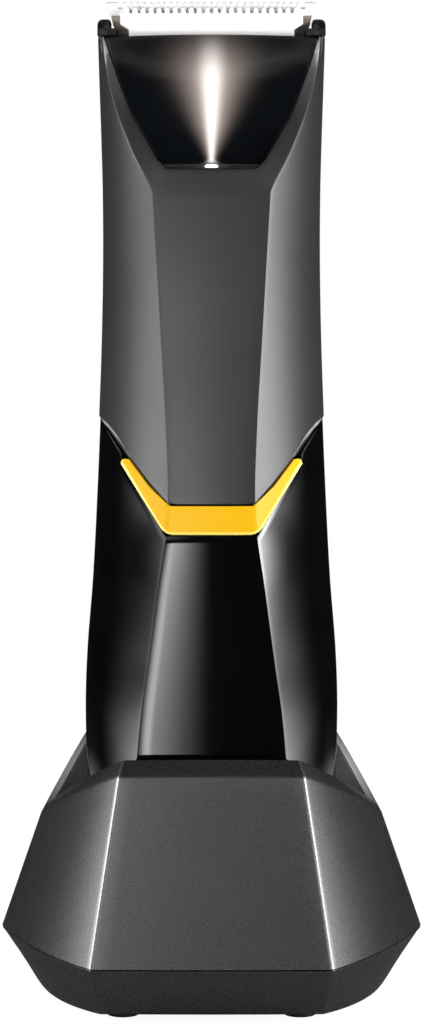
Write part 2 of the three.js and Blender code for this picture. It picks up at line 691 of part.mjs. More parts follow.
function cutterYoke() {
  const gap = 0.06;
  const leg = [
    bladePoint(CUTTER.back + gap, CUTTER.bottom),
    bladePoint(CUTTER.back + gap, -7.9),
    [4.4, 165.4],
    [4.4, 160.8],
    [-1.9, 160.8],
  ];
  const body = prismAlongX(leg, -5.6, 5.6);
  const wing = [leg[0], leg[1], [-1, 165.4], [-1, 163.4]];
  const wings = prismAlongX(wing, -11, 11);
  const travel = SHAFT_RADIUS + ECCENTRICITY + CUTTER_STROKE + 0.2;
  const slot = slab(travel, MOTOR.y - SHAFT_RADIUS - ECCENTRICITY - GAP, 10, 150, 170);
  return body.add(wings).subtract(slot);
}

// Rounded side grip of the blade head's frame.
function frameEar(side) {
  const outline = [];
  const [inside, outside, low, high, corner] = [17.75, 19.85, HEAD_SEAT, 170.1, 0.8];
  outline.push([inside, low], [outside, low]);
  for (const angle of [0, 30, 60, 90]) {
    const turn = THREE.MathUtils.degToRad(angle);
    const x = outside - corner + corner * Math.cos(turn);
    outline.push([x, high - corner + corner * Math.sin(turn)]);
  }
  outline.push([inside, high]);
  const points = side > 0 ? outline : outline.map(([x, z]) => [-x, z]).reverse();
  const profile = [[-5.8, 160], [-5.8, 168.4], [-4.2, 169.6], [-3.4, 180], [3, 180], [5.5, 168.6], [6.8, 160]];
  return prismAlongY(points, -6.5, 8).intersect(prismAlongX(profile.reverse(), -FAR, FAR));
}

function bladeFrame() {
  const backing = [
    bladePoint(1.06, -3),
    bladePoint(1.06, -7.6),
    [1.2, 163.6],
    [6, 163.6],
    [6, HEAD_SEAT],
    [8.3, HEAD_SEAT],
    [8.3, 168.2],
    [3.4, 171.2],
  ];
  const body = prismAlongX(backing.reverse(), -17, 17);
  const yokeRoom = slab(7.6, -6, 5.2, 160, 166.6);
  const rails = [-1, 1].map((side) => {
    const [inner, outer] = [14.4 + CUTTER_STROKE + 0.35, 17.5].map((x) => x * side);
    const [x0, x1] = [Math.min(inner, outer), Math.max(inner, outer)];
    return block(x0, x1, -4.2, 2, 163.6, HEAD_SEAT - 1.2);
  });
  const posts = [-1, 1].map((side) => {
    const [inner, outer] = [16.5, 17.9].map((x) => x * side);
    const [x0, x1] = [Math.min(inner, outer), Math.max(inner, outer)];
    return block(x0, x1, -5, 6.8, HEAD_SEAT, 168.5);
  });
  const ears = [frameEar(-1), frameEar(1)];
  const screwHoles = [-9, 9].map((x) => rodAcrossBlade(1.3, x, -5.4, 0, 12));
  const headRecess = [-9, 9].map((x) => rodAcrossBlade(2.4, x, -5.4, 2.6, 12));
  const fixedRoom = bladePlate([[-16.5, -7.4], [16.5, -7.4], [19, 0], [-19, 0]], -0.1, 1.06);
  const whole = joinAll([body, ...rails, ...posts, ...ears]);
  return cutAll(whole, [yokeRoom, fixedRoom, ...screwHoles, ...headRecess]);
}

function bladeScrew(x) {
  const head = rodAcrossBlade(2.1, x, -5.4, 2.65, 3.7);
  const shank = rodAcrossBlade(1.1, x, -5.4, 0.1, 2.7);
  return head.add(shank);
}

function bladeSpring() {
  const y = -2.75;
  const route = new THREE.CatmullRomCurve3([
    new THREE.Vector3(-14.6, -1.6, 162.2),
    new THREE.Vector3(-11, -1.9, 162.2),
    new THREE.Vector3(-6, y, 162.2),
    new THREE.Vector3(6, y, 162.2),
    new THREE.Vector3(11, -1.9, 162.2),
    new THREE.Vector3(14.6, -1.6, 162.2),
  ]);
  const wire = new THREE.Shape();
  wire.absarc(0, 0, 0.3, 0, 2 * Math.PI);
  return toSolid(new THREE.ExtrudeGeometry(wire, {
    steps: 14, curveSegments: 3, bevelEnabled: false, extrudePath: route,
  }));
}

piece("blade_frame", bladeFrame(), BLACK_PLASTIC);
piece("fixed_blade", fixedBlade(), WHITE_CERAMIC);
piece("blade_carrier", bladeCarrier(), STEEL);
piece("cutter_blade", cutterBlade(), WHITE_CERAMIC);
piece("cutter_yoke", cutterYoke(), WHITE_PLASTIC);
piece("blade_spring", bladeSpring(), STEEL);
piece("blade_screw_left", bladeScrew(-9), STEEL);
piece("blade_screw_right", bladeScrew(9), STEEL);

// ---- dock ----

// One quarter of the dock's plan at a height, from the front crease to the side corner.
function dockQuarter(z, inset = 0) {
  const rise = z - BELT_Z;
  const shrink = 1 - DOCK_TAPER * rise;
  const facet = DOCK_FACET * (1 - FACET_TAPER * rise);
  const curve = new THREE.QuadraticBezierCurve(
    new THREE.Vector2(facet - inset * 0.3, DOCK_FRONT * shrink - inset),
    new THREE.Vector2(DOCK_CURVE.x * shrink - inset * 0.8, DOCK_CURVE.y * shrink - inset * 0.6),
    new THREE.Vector2(DOCK_SIDE * shrink - inset, 0),
  );
  return curve.getPoints(DOCK_STEPS).map((p) => [p.x, p.y]);
}

// The whole ring, counter-clockwise from the front right crease, as x and y by height.
function dockRing(z, inset = 0) {
  const quarter = dockQuarter(z, inset);
  const frontRight = quarter.map(([x, y]) => [x, -y]);
  const backRight = quarter.slice(0, -1).reverse();
  const right = [...frontRight, ...backRight];
  return mirrored(right);
}

// Height of the outer rim above a point of the plan.
function rimHeight(y) {
  return y < 0 ? NOTCH_Z - RIM_FRONT_SLOPE * y : Math.min(NOTCH_Z + RIM_REAR_SLOPE * y, RIM_REAR_TOP);
}

// Where a wall line meets the rim: the wall leans, so the crossing is found by halving.
function rimCrossing(index, inset, extra) {
  let [low, high] = [BELT_Z, 2 * RIM_REAR_TOP];
  for (let i = 0; i < 40; i++) {
    const middle = (low + high) / 2;
    const [, y] = dockRing(middle, inset)[index];
    if (rimHeight(y) + extra > middle) low = middle;
    else high = middle;
  }
  return [...dockRing(low, inset)[index], low];
}

const SHELL_BOTTOM = 10.6;

function dockShell() {
  const count = dockRing(BELT_Z).length;
  const profiles = Array.from({ length: count }, (_, i) => [
    [...dockRing(SHELL_BOTTOM)[i], SHELL_BOTTOM],
    rimCrossing(i, 0, 0),
    rimCrossing(i, DOCK_WALL, RIM_BEVEL),
    [...dockRing(SHELL_BOTTOM, DOCK_WALL)[i], SHELL_BOTTOM],
  ]);
  return band(profiles);
}

function baseOutline(z, inset = 0) {
  return dockRing(BELT_Z, (BELT_Z - z) * BASE_TAPER + inset);
}

const SOCKET = { halfWidth: 4.47, front: 22.3, back: 28.6, bottom: 4.95, top: 8.1 };

function dockBase() {
  const outer = loft([BASE_BOTTOM, 2.2, BASE_TOP], (z) => baseOutline(z, z < 2 ? 1.1 : 0));
  const hollow = loft([3.2, BASE_TOP + 1], (z) => baseOutline(z, DOCK_WALL + 0.6));
  const feet = cornersOf(FOOT).map(([x, y]) => rod(FOOT.radius + 0.15, x, y, 0, FOOT.top + 0.1, 24));
  const screws = cornersOf(BASE_SCREW).flatMap(([x, y]) => {
    return [rod(1.4, x, y, 0, 5, 16), rod(2.5, x, y, 0, 2.4, 16)];
  });
  const port = slab(SOCKET.halfWidth + 0.35, 20, 40, SOCKET.bottom - 0.35, SOCKET.top + 0.35);
  return cutAll(outer, [hollow, ...feet, ...screws, port]);
}

function cornersOf({ x, y }) {
  return [[-x, -y], [x, -y], [-x, y], [x, y]];
}

// The tub that holds the groomer's end, with the deck around its mouth.
function dockCradle() {
  const deck = loft([DECK.bottom, DECK.top], (z) => dockRing(z, DOCK_WALL + GAP));
  const tub = loft([TUB_FLOOR.bottom, 22, DECK.bottom + 0.2], (z) => bodyOutline(z + 2, -2.2));
  const room = loft([TUB_FLOOR.top, 18, 21, 26, DECK.top + 1], (z) => bodyOutline(z, -0.5));
  const posts = cornersOf(BASE_SCREW).map(([x, y]) => rod(2.6, x, y, 3.4, TUB_FLOOR.bottom + 0.1, 16));
  const postBores = cornersOf(BASE_SCREW).map(([x, y]) => rod(1, x, y, 3, 13, 12));
  const barrels = [-CONTACT_X, CONTACT_X].map((x) => rod(1.9, x, 0, 10, 20));
  return cutAll(joinAll([deck, tub, ...posts]), [room, ...postBores, ...barrels]);
}

piece("dock_shell", dockShell(), DOCK_PLASTIC);
piece("dock_cradle", dockCradle(), DOCK_PLASTIC);
piece("dock_base", dockBase(), DOCK_PLASTIC);

function usbSocket() {
  const shell = slab(SOCKET.halfWidth, SOCKET.front, SOCKET.back, SOCKET.bottom, SOCKET.top);
  const mouth = slab(
    SOCKET.halfWidth - 0.35, SOCKET.front + 1, SOCKET.back + 1, SOCKET.bottom + 0.35, SOCKET.top - 0.35,
  );
  const middle = (SOCKET.bottom + SOCKET.top) / 2;
  const tongue = slab(3.3, SOCKET.front + 0.5, SOCKET.back - 0.8, middle - 0.35, middle + 0.35);
  return shell.subtract(mouth).add(tongue);
}

function dockBoard() {
  const plate = slab(10.5, -5, 26, 8.2, 9.3);
  const regulator = block(-4, 2, 10, 16, 9.2, 10.6);
  const capacitor = rod(2.4, 6, 14, 9.2, 12.4, 20);
  return joinAll([plate, regulator, capacitor]);
}

piece("ballast_plate", slab(12.5, -22, 3, 3.4, 7.2), STEEL);
piece("dock_board", dockBoard(), BOARD_GREEN);
piece("usb_socket", usbSocket(), STEEL);

// Spring contacts: a barrel on the board, a coil spring in it, and a pin that pokes up.
const PIN = { radius: 0.75, collar: 1.15, top: 17, collarTop: 14.8, collarBottom: 13.8, tail: 11.4 };
const BARREL = { radius: 1.7, bore: 1.25, bottom: 9.35, top: 16.3 };
const PIN_TRAVEL = 1.2;

function contactPin(x) {
  return turned([
    [0, PIN.tail], [0.45, PIN.tail], [0.45, PIN.collarBottom], [PIN.collar, PIN.collarBottom],
    [PIN.collar, PIN.collarTop], [PIN.radius, PIN.collarTop], [PIN.radius, PIN.top - 0.4],
    [PIN.radius - 0.4, PIN.top], [0, PIN.top],
  ], x, 0);
}

function contactBarrel(x) {
  return turned([
    [0, BARREL.bottom], [BARREL.radius, BARREL.bottom], [BARREL.radius, BARREL.top],
    [PIN.radius + RUNNING_CLEARANCE, BARREL.top], [PIN.radius + RUNNING_CLEARANCE, 15],
    [BARREL.bore, 15], [BARREL.bore, BARREL.bottom + 0.6], [0, BARREL.bottom + 0.6],
  ], x, 0);
}

function contactSpring(x) {
  const [radius, bottom, top, turns] = [0.8, BARREL.bottom + 0.85, PIN.collarBottom - 0.3, 3];
  const points = Array.from({ length: turns * 8 + 1 }, (_, i) => {
    const angle = (i / 8) * 2 * Math.PI;
    const z = bottom + ((top - bottom) * i) / (turns * 8);
    return new THREE.Vector3(x + radius * Math.cos(angle), radius * Math.sin(angle), z);
  });
  const wire = new THREE.Shape();
  wire.absarc(0, 0, 0.13, 0, 2 * Math.PI);
  return toSolid(new THREE.ExtrudeGeometry(wire, {
    steps: turns * 8, curveSegments: 2, bevelEnabled: false,
    extrudePath: new THREE.CatmullRomCurve3(points),
  }));
}

for (const [name, x] of [["left", -CONTACT_X], ["right", CONTACT_X]]) {
  piece(`contact_pin_${name}`, contactPin(x), GOLD_CONTACT);
  piece(`contact_barrel_${name}`, contactBarrel(x), GOLD_CONTACT);
  piece(`contact_spring_${name}`, contactSpring(x), STEEL);
}

function baseScrew(x, y) {
  const head = rod(2.2, x, y, 1.35, 2.3, 16);
  const shank = rod(0.95, x, y, 2.2, 11, 12);
  const slot = block(x - 1.6, x + 1.6, y - 0.3, y + 0.3, 1, 1.8);
  return head.add(shank).subtract(slot);
}

const CORNER_NAMES = ["front_left", "front_right", "rear_left", "rear_right"];
cornersOf(BASE_SCREW).forEach(([x, y], i) => {
  piece(`base_screw_${CORNER_NAMES[i]}`, baseScrew(x, y), STEEL);
});
cornersOf(FOOT).forEach(([x, y], i) => {
  piece(`foot_${CORNER_NAMES[i]}`, rod(FOOT.radius, x, y, 0, FOOT.top, 24), RUBBER);
});

export default groomer;
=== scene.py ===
"""A body groomer in its charging dock: the visible shells, materials, lights and camera."""
import json
import math
import bpy
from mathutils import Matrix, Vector


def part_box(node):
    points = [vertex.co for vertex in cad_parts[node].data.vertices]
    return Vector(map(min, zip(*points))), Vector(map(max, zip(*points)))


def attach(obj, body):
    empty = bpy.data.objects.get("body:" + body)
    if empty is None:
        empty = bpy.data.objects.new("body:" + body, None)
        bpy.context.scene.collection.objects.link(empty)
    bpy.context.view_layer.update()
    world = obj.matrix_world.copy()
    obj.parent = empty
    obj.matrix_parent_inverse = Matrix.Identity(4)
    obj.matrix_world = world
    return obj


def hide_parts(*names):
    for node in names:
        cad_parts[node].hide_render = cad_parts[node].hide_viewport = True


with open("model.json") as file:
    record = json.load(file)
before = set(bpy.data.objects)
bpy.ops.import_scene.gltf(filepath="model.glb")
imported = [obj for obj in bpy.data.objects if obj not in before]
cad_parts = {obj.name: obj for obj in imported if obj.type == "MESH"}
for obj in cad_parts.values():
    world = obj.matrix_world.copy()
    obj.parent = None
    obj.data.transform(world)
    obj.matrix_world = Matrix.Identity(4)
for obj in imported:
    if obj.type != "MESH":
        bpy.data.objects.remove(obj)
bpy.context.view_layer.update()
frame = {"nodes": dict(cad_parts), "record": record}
NODES = frame["nodes"]
MM = 0.001
GAP = 0.3  # the seam between two shells
LEFT, RIGHT = -1, 1
CORNERS = ("front_left", "front_right", "rear_left", "rear_right")

# ---- the groomer's body: height, half-width, front depth, rear depth, front facet half-width ----
BODY = [
    (17, 20.3, 15.6, 15.6, 14.6),
    (18, 21.1, 16.5, 16.5, 14.6),
    (21, 21.6, 17.2, 17.2, 14.5),
    (37, 22.2, 18.4, 18.4, 13.3),
    (50, 22.5, 18.6, 18.5, 12.2),
    (60, 22.15, 18.5, 18.3, 10.8),
    (72, 21.2, 18.3, 17.9, 9.2),
    (85, 20.5, 18.0, 17.5, 7.5),
    (100, 19.85, 17.7, 17.1, 7.8),
    (114, 19.35, 17.3, 16.8, 8.6),
    (128, 19.1, 17.0, 16.5, 9.4),
    (140, 19.15, 16.5, 15.9, 10.1),
    (150, 19.4, 15.9, 14.2, 10.6),
    (159, 19.7, 15.2, 11.2, 11.0),
    (167, 19.95, 14.5, 8.6, 11.4),
]
BODY_TOP = 167
SIDE_FULLNESS = 0.62  # how squarely the sides turn from front to rear
REAR_FACET = 0.75  # the rear facet's width as a share of the front one's
CROWN = 0.25  # how far the flat facets bow outward in their middle
FACET_DRAW = 0.4  # how much of an inset the facet's own edge takes
SIDE_STEPS = 32
FACET_STEPS = 10

# Lower edge of the matte covers, and the yellow trim's outer edge, as x and z on the right side.
V_EDGE = [(7.2, 86.4), (10.7, 89.6), (14.2, 94.0), (15.6, 94.4), (19.4, 100.0)]
V_LINE = [(7.2, 86.4), (10.7, 90.2), (14.2, 94.5), (16.1, 97.5), (18.2, 99.8), (19.4, 100.5)]
REAR_EDGE = [(7.2, 86.4), (10.7, 89.7), (15.6, 94.6), (19.4, 100.0)]
TRIM_EDGE = [(7.95, 81.3), (15.7, 93.1)]

# Scoop under the blades: depth in front of the axis by height, and its outline.
SCOOP_FRAME = [(141.8, 16.6), (143.4, 15.9), (147, 14.1), (153.4, 10.9), (162, 7.4), (168, 5.9)]
SCOOP_PANEL = [(143.7, 15.9), (144.5, 14.3), (147, 12.9), (153.4, 10.5), (162, 7.2), (166.9, 6.0)]
SCOOP_OUTLINE = [(143.7, 7.8), (144.7, 8.9), (153, 13.75), (160.6, 16.65), (166.9, 18.75)]
# Outer edge of the frame that slopes round the scoop: height by distance from the middle.
FRAME_EDGE = [(10.08, 139.75), (10.93, 141.7), (12.25, 144.2), (13.57, 146.8), (14.9, 150.1),
              (16.26, 153.5), (17.5, 157.5), (18.42, 162.0), (18.95, 166.5), (19.0, 167.2)]
FRAME_BOW = 0.8  # how much higher its lower edge is in the middle


def value_at(table, column, z):
    """Smooth value of one column of a table at a height."""
    last = len(table) - 1
    if z <= table[0][0]:
        return table[0][column]
    if z >= table[last][0]:
        return table[last][column]
    i = next(k for k in range(last) if table[k + 1][0] > z)
    (z0, z1), (v0, v1) = (table[i][0], table[i + 1][0]), (table[i][column], table[i + 1][column])

    def slope(a, b):
        return (table[b][column] - table[a][column]) / (table[b][0] - table[a][0]) * (z1 - z0)

    t = (z - z0) / (z1 - z0)
    s0, s1 = slope(max(i - 1, 0), i + 1), slope(i, min(i + 2, last))
    blend = (2 * t**3 - 3 * t**2 + 1) * v0 + (3 * t**2 - 2 * t**3) * v1
    return blend + (t**3 - 2 * t**2 + t) * s0 + (t**3 - t**2) * s1


def straight_at(points, value):
    """Piecewise straight value of a list of pairs, sorted by their first number."""
    if value <= points[0][0]:
        return points[0][1]
    for (a, fa), (b, fb) in zip(points, points[1:]):
        if value <= b:
            return fa + (fb - fa) * (value - a) / (b - a)
    return points[-1][1]


def skin(u, z, rear=False, inset=0.0):
    """A point of the body: |u| up to 1 crosses the facet, 1 to 2 runs round to the side."""
    width, front, back, facet = (value_at(BODY, k, z) for k in (1, 2, 3, 4))
    facet -= inset * FACET_DRAW
    width -= inset
    depth = (back if rear else front) - inset
    if rear:
        facet *= REAR_FACET
    side = math.copysign(1, u)
    if abs(u) <= 1:
        x, y = facet * u, depth + CROWN * (1 - u * u)
    else:
        t = abs(u) - 1
        x = side * (width - (width - facet) * (1 - t) ** 2)
        y = depth * (1 - t) ** 2 + 2 * t * (1 - t) * depth * SIDE_FULLNESS
    return Vector((x, y if rear else -y, z))


def skin_depth(x, z, inset=0.0):
    """How far the front skin stands in front of the axis at x and z."""
    width, front, facet = (value_at(BODY, k, z) for k in (1, 2, 4))
    facet -= inset * FACET_DRAW
    width -= inset
    front -= inset
    if abs(x) <= facet:
        return front + CROWN * (1 - (x / facet) ** 2)
    rest = math.sqrt(max(0.0, (width - abs(x)) / (width - facet)))
    return front * rest**2 + 2 * (1 - rest) * rest * front * SIDE_FULLNESS


def spread(start, end, steps):
    return [start + (end - start) * i / steps for i in range(steps + 1)]


def lerp(a, b, t):
    return a + (b - a) * t


def clamped(value):
    return min(1, max(0, value))


def last_below(low, high, below):
    """The place between low and high where below stops being true."""
    for _ in range(40):
        middle = (low + high) / 2
        if below(middle):
            low = middle
        else:
            high = middle
    return low


# ---- meshes ----
def grid_mesh(name, columns, closed=False):
    """A sheet of quads from columns of points in millimetres; columns run counter-clockwise."""
    rows = len(columns[0])
    points = [Vector(p) * MM for column in columns for p in column]
    faces = []
    for c in range(len(columns) if closed else len(columns) - 1):
        here, there = c * rows, (c + 1) % len(columns) * rows
        for r in range(rows - 1):
            faces.append((here + r, there + r, there + r + 1, here + r + 1))
    mesh = bpy.data.meshes.new(name)
    mesh.from_pydata(points, [], faces)
    mesh.validate()
    piece = bpy.data.objects.new(name, mesh)
    bpy.context.scene.collection.objects.link(piece)
    for face in mesh.polygons:
        face.use_smooth = True
    return piece


def closed_ring(name, profiles):
    """A closed band: each profile is a closed loop of points, and the profiles go right round."""
    return grid_mesh(name, [profile + [profile[0]] for profile in profiles], closed=True)


def welded(piece):
    piece.modifiers.new("weld", "WELD").merge_threshold = 0.001 * MM
    return piece


def thickened(piece, thickness):
    solid = piece.modifiers.new("wall", "SOLIDIFY")
    solid.thickness = thickness * MM
    solid.offset = -1
    return piece


def bevelled(piece, width, segments=3, angle=20):
    bevel = piece.modifiers.new("edges", "BEVEL")
    bevel.width = width * MM
    bevel.segments = segments
    bevel.limit_method = "ANGLE"
    bevel.angle_limit = math.radians(angle)
    bevel.harden_normals = False
    return piece


def smooth_group():
    """A node group that shades smooth and keeps edges over an angle sharp."""
    group = bpy.data.node_groups.new("smooth_by_angle", "GeometryNodeTree")
    group.interface.new_socket("Geometry", in_out="INPUT", socket_type="NodeSocketGeometry")
    group.interface.new_socket("Geometry", in_out="OUTPUT", socket_type="NodeSocketGeometry")
    nodes, links = group.nodes, group.links
    start, end = nodes.new("NodeGroupInput"), nodes.new("NodeGroupOutput")
    angle = nodes.new("GeometryNodeInputMeshEdgeAngle")
    under = nodes.new("FunctionNodeCompare")
    under.operation = "LESS_THAN"
    under.inputs[1].default_value = math.radians(32)
    edges, faces = nodes.new("GeometryNodeSetShadeSmooth"), nodes.new("GeometryNodeSetShadeSmooth")
    edges.domain = "EDGE"
    links.new(angle.outputs["Unsigned Angle"], under.inputs[0])
    links.new(start.outputs[0], edges.inputs["Geometry"])
    links.new(under.outputs[0], edges.inputs["Shade Smooth"])
    links.new(edges.outputs[0], faces.inputs["Geometry"])
    links.new(faces.outputs[0], end.inputs[0])
    return group


SMOOTH = smooth_group()


def smoothed(piece):
    piece.modifiers.new("smooth", "NODES").node_group = SMOOTH
    return piece


def finished(piece, body, slot, material, *replaced):
    """Puts a new piece in place of CAD nodes, on their body, with its material; the slot is not used."""
    piece.data.materials.clear()
    piece.data.materials.append(material)
    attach(piece, body)
    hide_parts(*replaced)
    return piece


# ---- edges on the body, as heights ----
def mirrored_at(points, x):
    """Height of an edge that is the same left and right."""
    first, last = points[0], points[-1]
    if abs(x) > last[0]:
        before = points[-2]
        return last[1] + (abs(x) - last[0]) * (last[1] - before[1]) / (last[0] - before[0])
    return straight_at(points, abs(x)) if abs(x) > first[0] else first[1]


def edge_height(edge, u, rear=False, guess=90):
    """Height at which the skin's line u meets an edge given by x, found by closing in on it."""
    z = guess
    for _ in range(30):
        z = lerp(z, mirrored_at(edge, skin(u, z, rear).x), 0.7)
    return z


def frame_edge_height(x):
    """Height of the scoop frame's outer edge at a distance from the middle."""
    first = FRAME_EDGE[0]
    if abs(x) <= first[0]:
        return first[1] + FRAME_BOW * (1 - (x / first[0]) ** 2)
    return straight_at(FRAME_EDGE, abs(x))


def scoop_height(u):
    """Height at which the skin's line u meets the frame's outer edge, or the top."""
    if abs(u) <= 1:
        return frame_edge_height(FRAME_EDGE[0][0] * u)
    if abs(skin(u, BODY_TOP).x) > FRAME_EDGE[-1][0]:
        return BODY_TOP
    return last_below(FRAME_EDGE[0][1], BODY_TOP, lambda z: frame_edge_height(skin(u, z).x) > z)


def corner_of_scoop():
    """The skin line that meets the frame's outer edge exactly at the top."""
    edge = straight_at([(z, x) for x, z in FRAME_EDGE], BODY_TOP)
    return last_below(1, 2, lambda u: skin(u, BODY_TOP).x < edge)


SCOOP_CORNER = corner_of_scoop()


def half_lines(corner=1.5):
    """Skin lines from the left side to the right side, with one on each crease and corner."""
    side = spread(1, corner, SIDE_STEPS // 2) + spread(corner, 2, SIDE_STEPS // 2)[1:]
    left = [-u for u in reversed(side)]
    return left + spread(-1, 1, FACET_STEPS)[1:-1] + side


def ring_lines(corner=1.5):
    """Skin lines right round the body, each with whether it is on the rear."""
    rear = [(-u, True) for u in half_lines()][1:-1]
    return [(u, False) for u in half_lines(corner)] + rear


# ---- matte covers ----
SKIN_ROWS = 34
CUT_ROWS = 4
TOP_INSET = 1.6  # how wide the flat upper edge of the covers is
INWARD_LIP = 1.3  # how far the front cover turns in behind its upper edge


def scoop_edge_point(u):
    """Where the scoop's recess opens, on the frame that slopes round it."""
    if abs(u) <= 1:
        x, z = SCOOP_OUTLINE[0][1] * u, SCOOP_OUTLINE[0][0]
    else:
        start, end = scoop_height(1), BODY_TOP
        share = (scoop_height(u) - start) / (end - start)
        z = lerp(SCOOP_OUTLINE[0][0], SCOOP_OUTLINE[-1][0], share)
        x = math.copysign(straight_at(SCOOP_OUTLINE, z), u)
    return Vector((x, -straight_at(SCOOP_FRAME, z), z))


def front_column(u):
    inner = edge_height(V_EDGE, u) + GAP / 2
    line = max(edge_height(V_LINE, u) + GAP / 2, inner + 0.06)
    top = scoop_height(u)
    lip = skin(u, inner, inset=(line - inner) * 0.4)
    column = [lip.lerp(skin(u, line), t) for t in (0, 0.5)]
    column += [skin(u, z) for z in spread(line, top, SKIN_ROWS)]
    edge = column[-1]
    if abs(u) <= SCOOP_CORNER + 1e-6:
        rim = scoop_edge_point(u)
        inward = Vector((0, INWARD_LIP, 0))
    else:
        rim = skin(u, BODY_TOP, inset=lerp(0.75, TOP_INSET, clamped((abs(u) - SCOOP_CORNER) * 4)))
        inward = Vector((0, 0, -INWARD_LIP))
    column += [edge.lerp(rim, t) for t in spread(0, 1, CUT_ROWS)[1:]]
    column.append(column[-1] + inward)
    return column


def rear_column(u):
    low = edge_height(REAR_EDGE, u, rear=True) + GAP / 2
    column = [skin(u, z, rear=True) for z in spread(low, BODY_TOP, SKIN_ROWS)]
    rim = skin(u, BODY_TOP, rear=True, inset=TOP_INSET)
    column += [column[-1].lerp(rim, t) for t in (0.5, 1)]
    return column


def front_cover(material):
    sheet = grid_mesh("front_cover_shell", [front_column(u) for u in half_lines(SCOOP_CORNER)])
    bevelled(thickened(sheet, 1.2), 0.22)
    return finished(smoothed(sheet), "trimmer", "matte_shell", material, "front_cover")


def cut_with(piece, cutter):
    """Cuts one piece by another and takes the cutter away."""
    cut = piece.modifiers.new("cut", "BOOLEAN")
    cut.operation, cut.solver, cut.object = "DIFFERENCE", "EXACT", cutter
    bpy.context.view_layer.update()
    shaped = piece.evaluated_get(bpy.context.evaluated_depsgraph_get())
    piece.data = bpy.data.meshes.new_from_object(shaped)
    piece.modifiers.clear()
    bpy.data.objects.remove(cutter)


def lathe_along_y(name, profile, x, z, count=64):
    """A round piece about a line along Y: the profile is radius and y, from the axis to the axis."""
    columns = []
    for i in range(count):
        a = -2 * math.pi * i / count
        columns.append([(x + r * math.cos(a), y, z + r * math.sin(a)) for r, y in profile])
    return welded(grid_mesh(name, columns, closed=True))


def centre_and_radius(node):
    """The middle of a node's box, and half its width, in millimetres."""
    low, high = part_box(node)
    middle = (low + high) / 2 / MM
    return middle, (high.x - low.x) / 2 / MM


def rear_cover(material):
    sheet = grid_mesh("rear_cover_shell", [rear_column(-u) for u in half_lines()])
    bevelled(thickened(sheet, 1.5), 0.22)
    for node, play in (("power_button", -0.75), ("status_lens", 0.15)):
        middle, radius = centre_and_radius(node)
        hole = [(0, 8), (radius + play, 8), (radius + play, 30), (0, 30)]
        cut_with(sheet, lathe_along_y("hole", hole, 0, middle.z))
    return finished(smoothed(sheet), "trimmer", "matte_shell", material, "rear_cover")


# ---- gloss handle ----
SLEEVE_INSET = 0.25
SLEEVE_BOTTOM = 20
TRIM_SEAM = 0.22  # the seam between the trim and the sleeve under it


def sleeve_top(u):
    """The sleeve ends under the trim where there is one, and under the covers elsewhere."""
    height = edge_height(V_EDGE, u) - GAP / 2
    x = abs(skin(u, height).x)
    if x > TRIM_EDGE[-1][0] + 0.2:
        return height
    trim = edge_height(TRIM_EDGE, u, guess=85) - TRIM_SEAM
    ease = clamped((x - TRIM_EDGE[-1][0] + 0.25) / 0.45)
    return lerp(trim, height, ease * ease * (3 - 2 * ease))


def sleeve_column(u, rear):
    top = edge_height(REAR_EDGE, u, rear=True) - GAP / 2 if rear else sleeve_top(u)
    heights = [SLEEVE_BOTTOM, SLEEVE_BOTTOM + 0.8] + spread(SLEEVE_BOTTOM + 2, top, 40)
    return [skin(u, z, rear, SLEEVE_INSET) for z in heights]


def handle_sleeve(material):
    columns = [sleeve_column(u, rear) for u, rear in ring_lines(1.42)]
    sheet = grid_mesh("handle_sleeve_shell", columns, closed=True)
    bevelled(thickened(sheet, 1.5), 0.3)
    return finished(smoothed(sheet), "trimmer", "gloss_black", material, "handle_sleeve")


# ---- yellow trim ----
TRIM_BEVEL = [(0, 0.44), (0.05, 0.34), (0.5, 0.03), (0.6, 0), (0.8, 0)]  # distance in, and depth
TRIM_ROUNDING = 1.6  # how far the rounding of each lower corner reaches along the edge
TRIM_PROUD = 0.12  # how far the trim's face stands out of the skin


def round_corner(point, past, ends):
    """Bends a point of the trim's outer edge onto the curve that rounds its corner."""
    before, corner, after = ends
    reach = (point - corner).length / TRIM_ROUNDING
    if reach >= 1:
        return point
    t = 0.5 + (reach if past else -reach) / 2
    start = corner + (before - corner).normalized() * TRIM_ROUNDING
    stop = corner + (after - corner).normalized() * TRIM_ROUNDING
    return start * (1 - t) ** 2 + corner * 2 * t * (1 - t) + stop * t * t


def trim_columns():
    """Cross-sections of the trim from its left end to its right end."""
    inner = [(0, V_EDGE[0][1])] + V_EDGE[:3]
    inner = [Vector((x, z - GAP / 2 - 0.02)) for x, z in inner]
    bend, end = (Vector(point) for point in TRIM_EDGE)
    outer = [Vector((0, bend.y)), bend, (bend + end) / 2, end]
    right = []
    for s in spread(0, 1, 16)[:-1] + spread(1, 3, 30):
        i = min(int(s), 2)  # which of the three straight stretches this is on
        pair = [lerp(edge[i], edge[i + 1], s - i) for edge in (inner, outer)]
        pair[1] = round_corner(pair[1], s > 1, outer[:3])
        right.append(pair)
    # The arm's end is drawn in to a rounded tip.
    tip_in, tip_out = right[-1]
    along = (end - bend).normalized()
    middle = (tip_in + tip_out) / 2 + along * 0.2
    for t in (0.45, 0.8):
        right.append([lerp(p, middle, t) + along * 0.35 * math.sqrt(t) for p in (tip_in, tip_out)])
    left = [[Vector((-p.x, p.y)) for p in pair] for pair in reversed(right)]
    return left + right[1:]


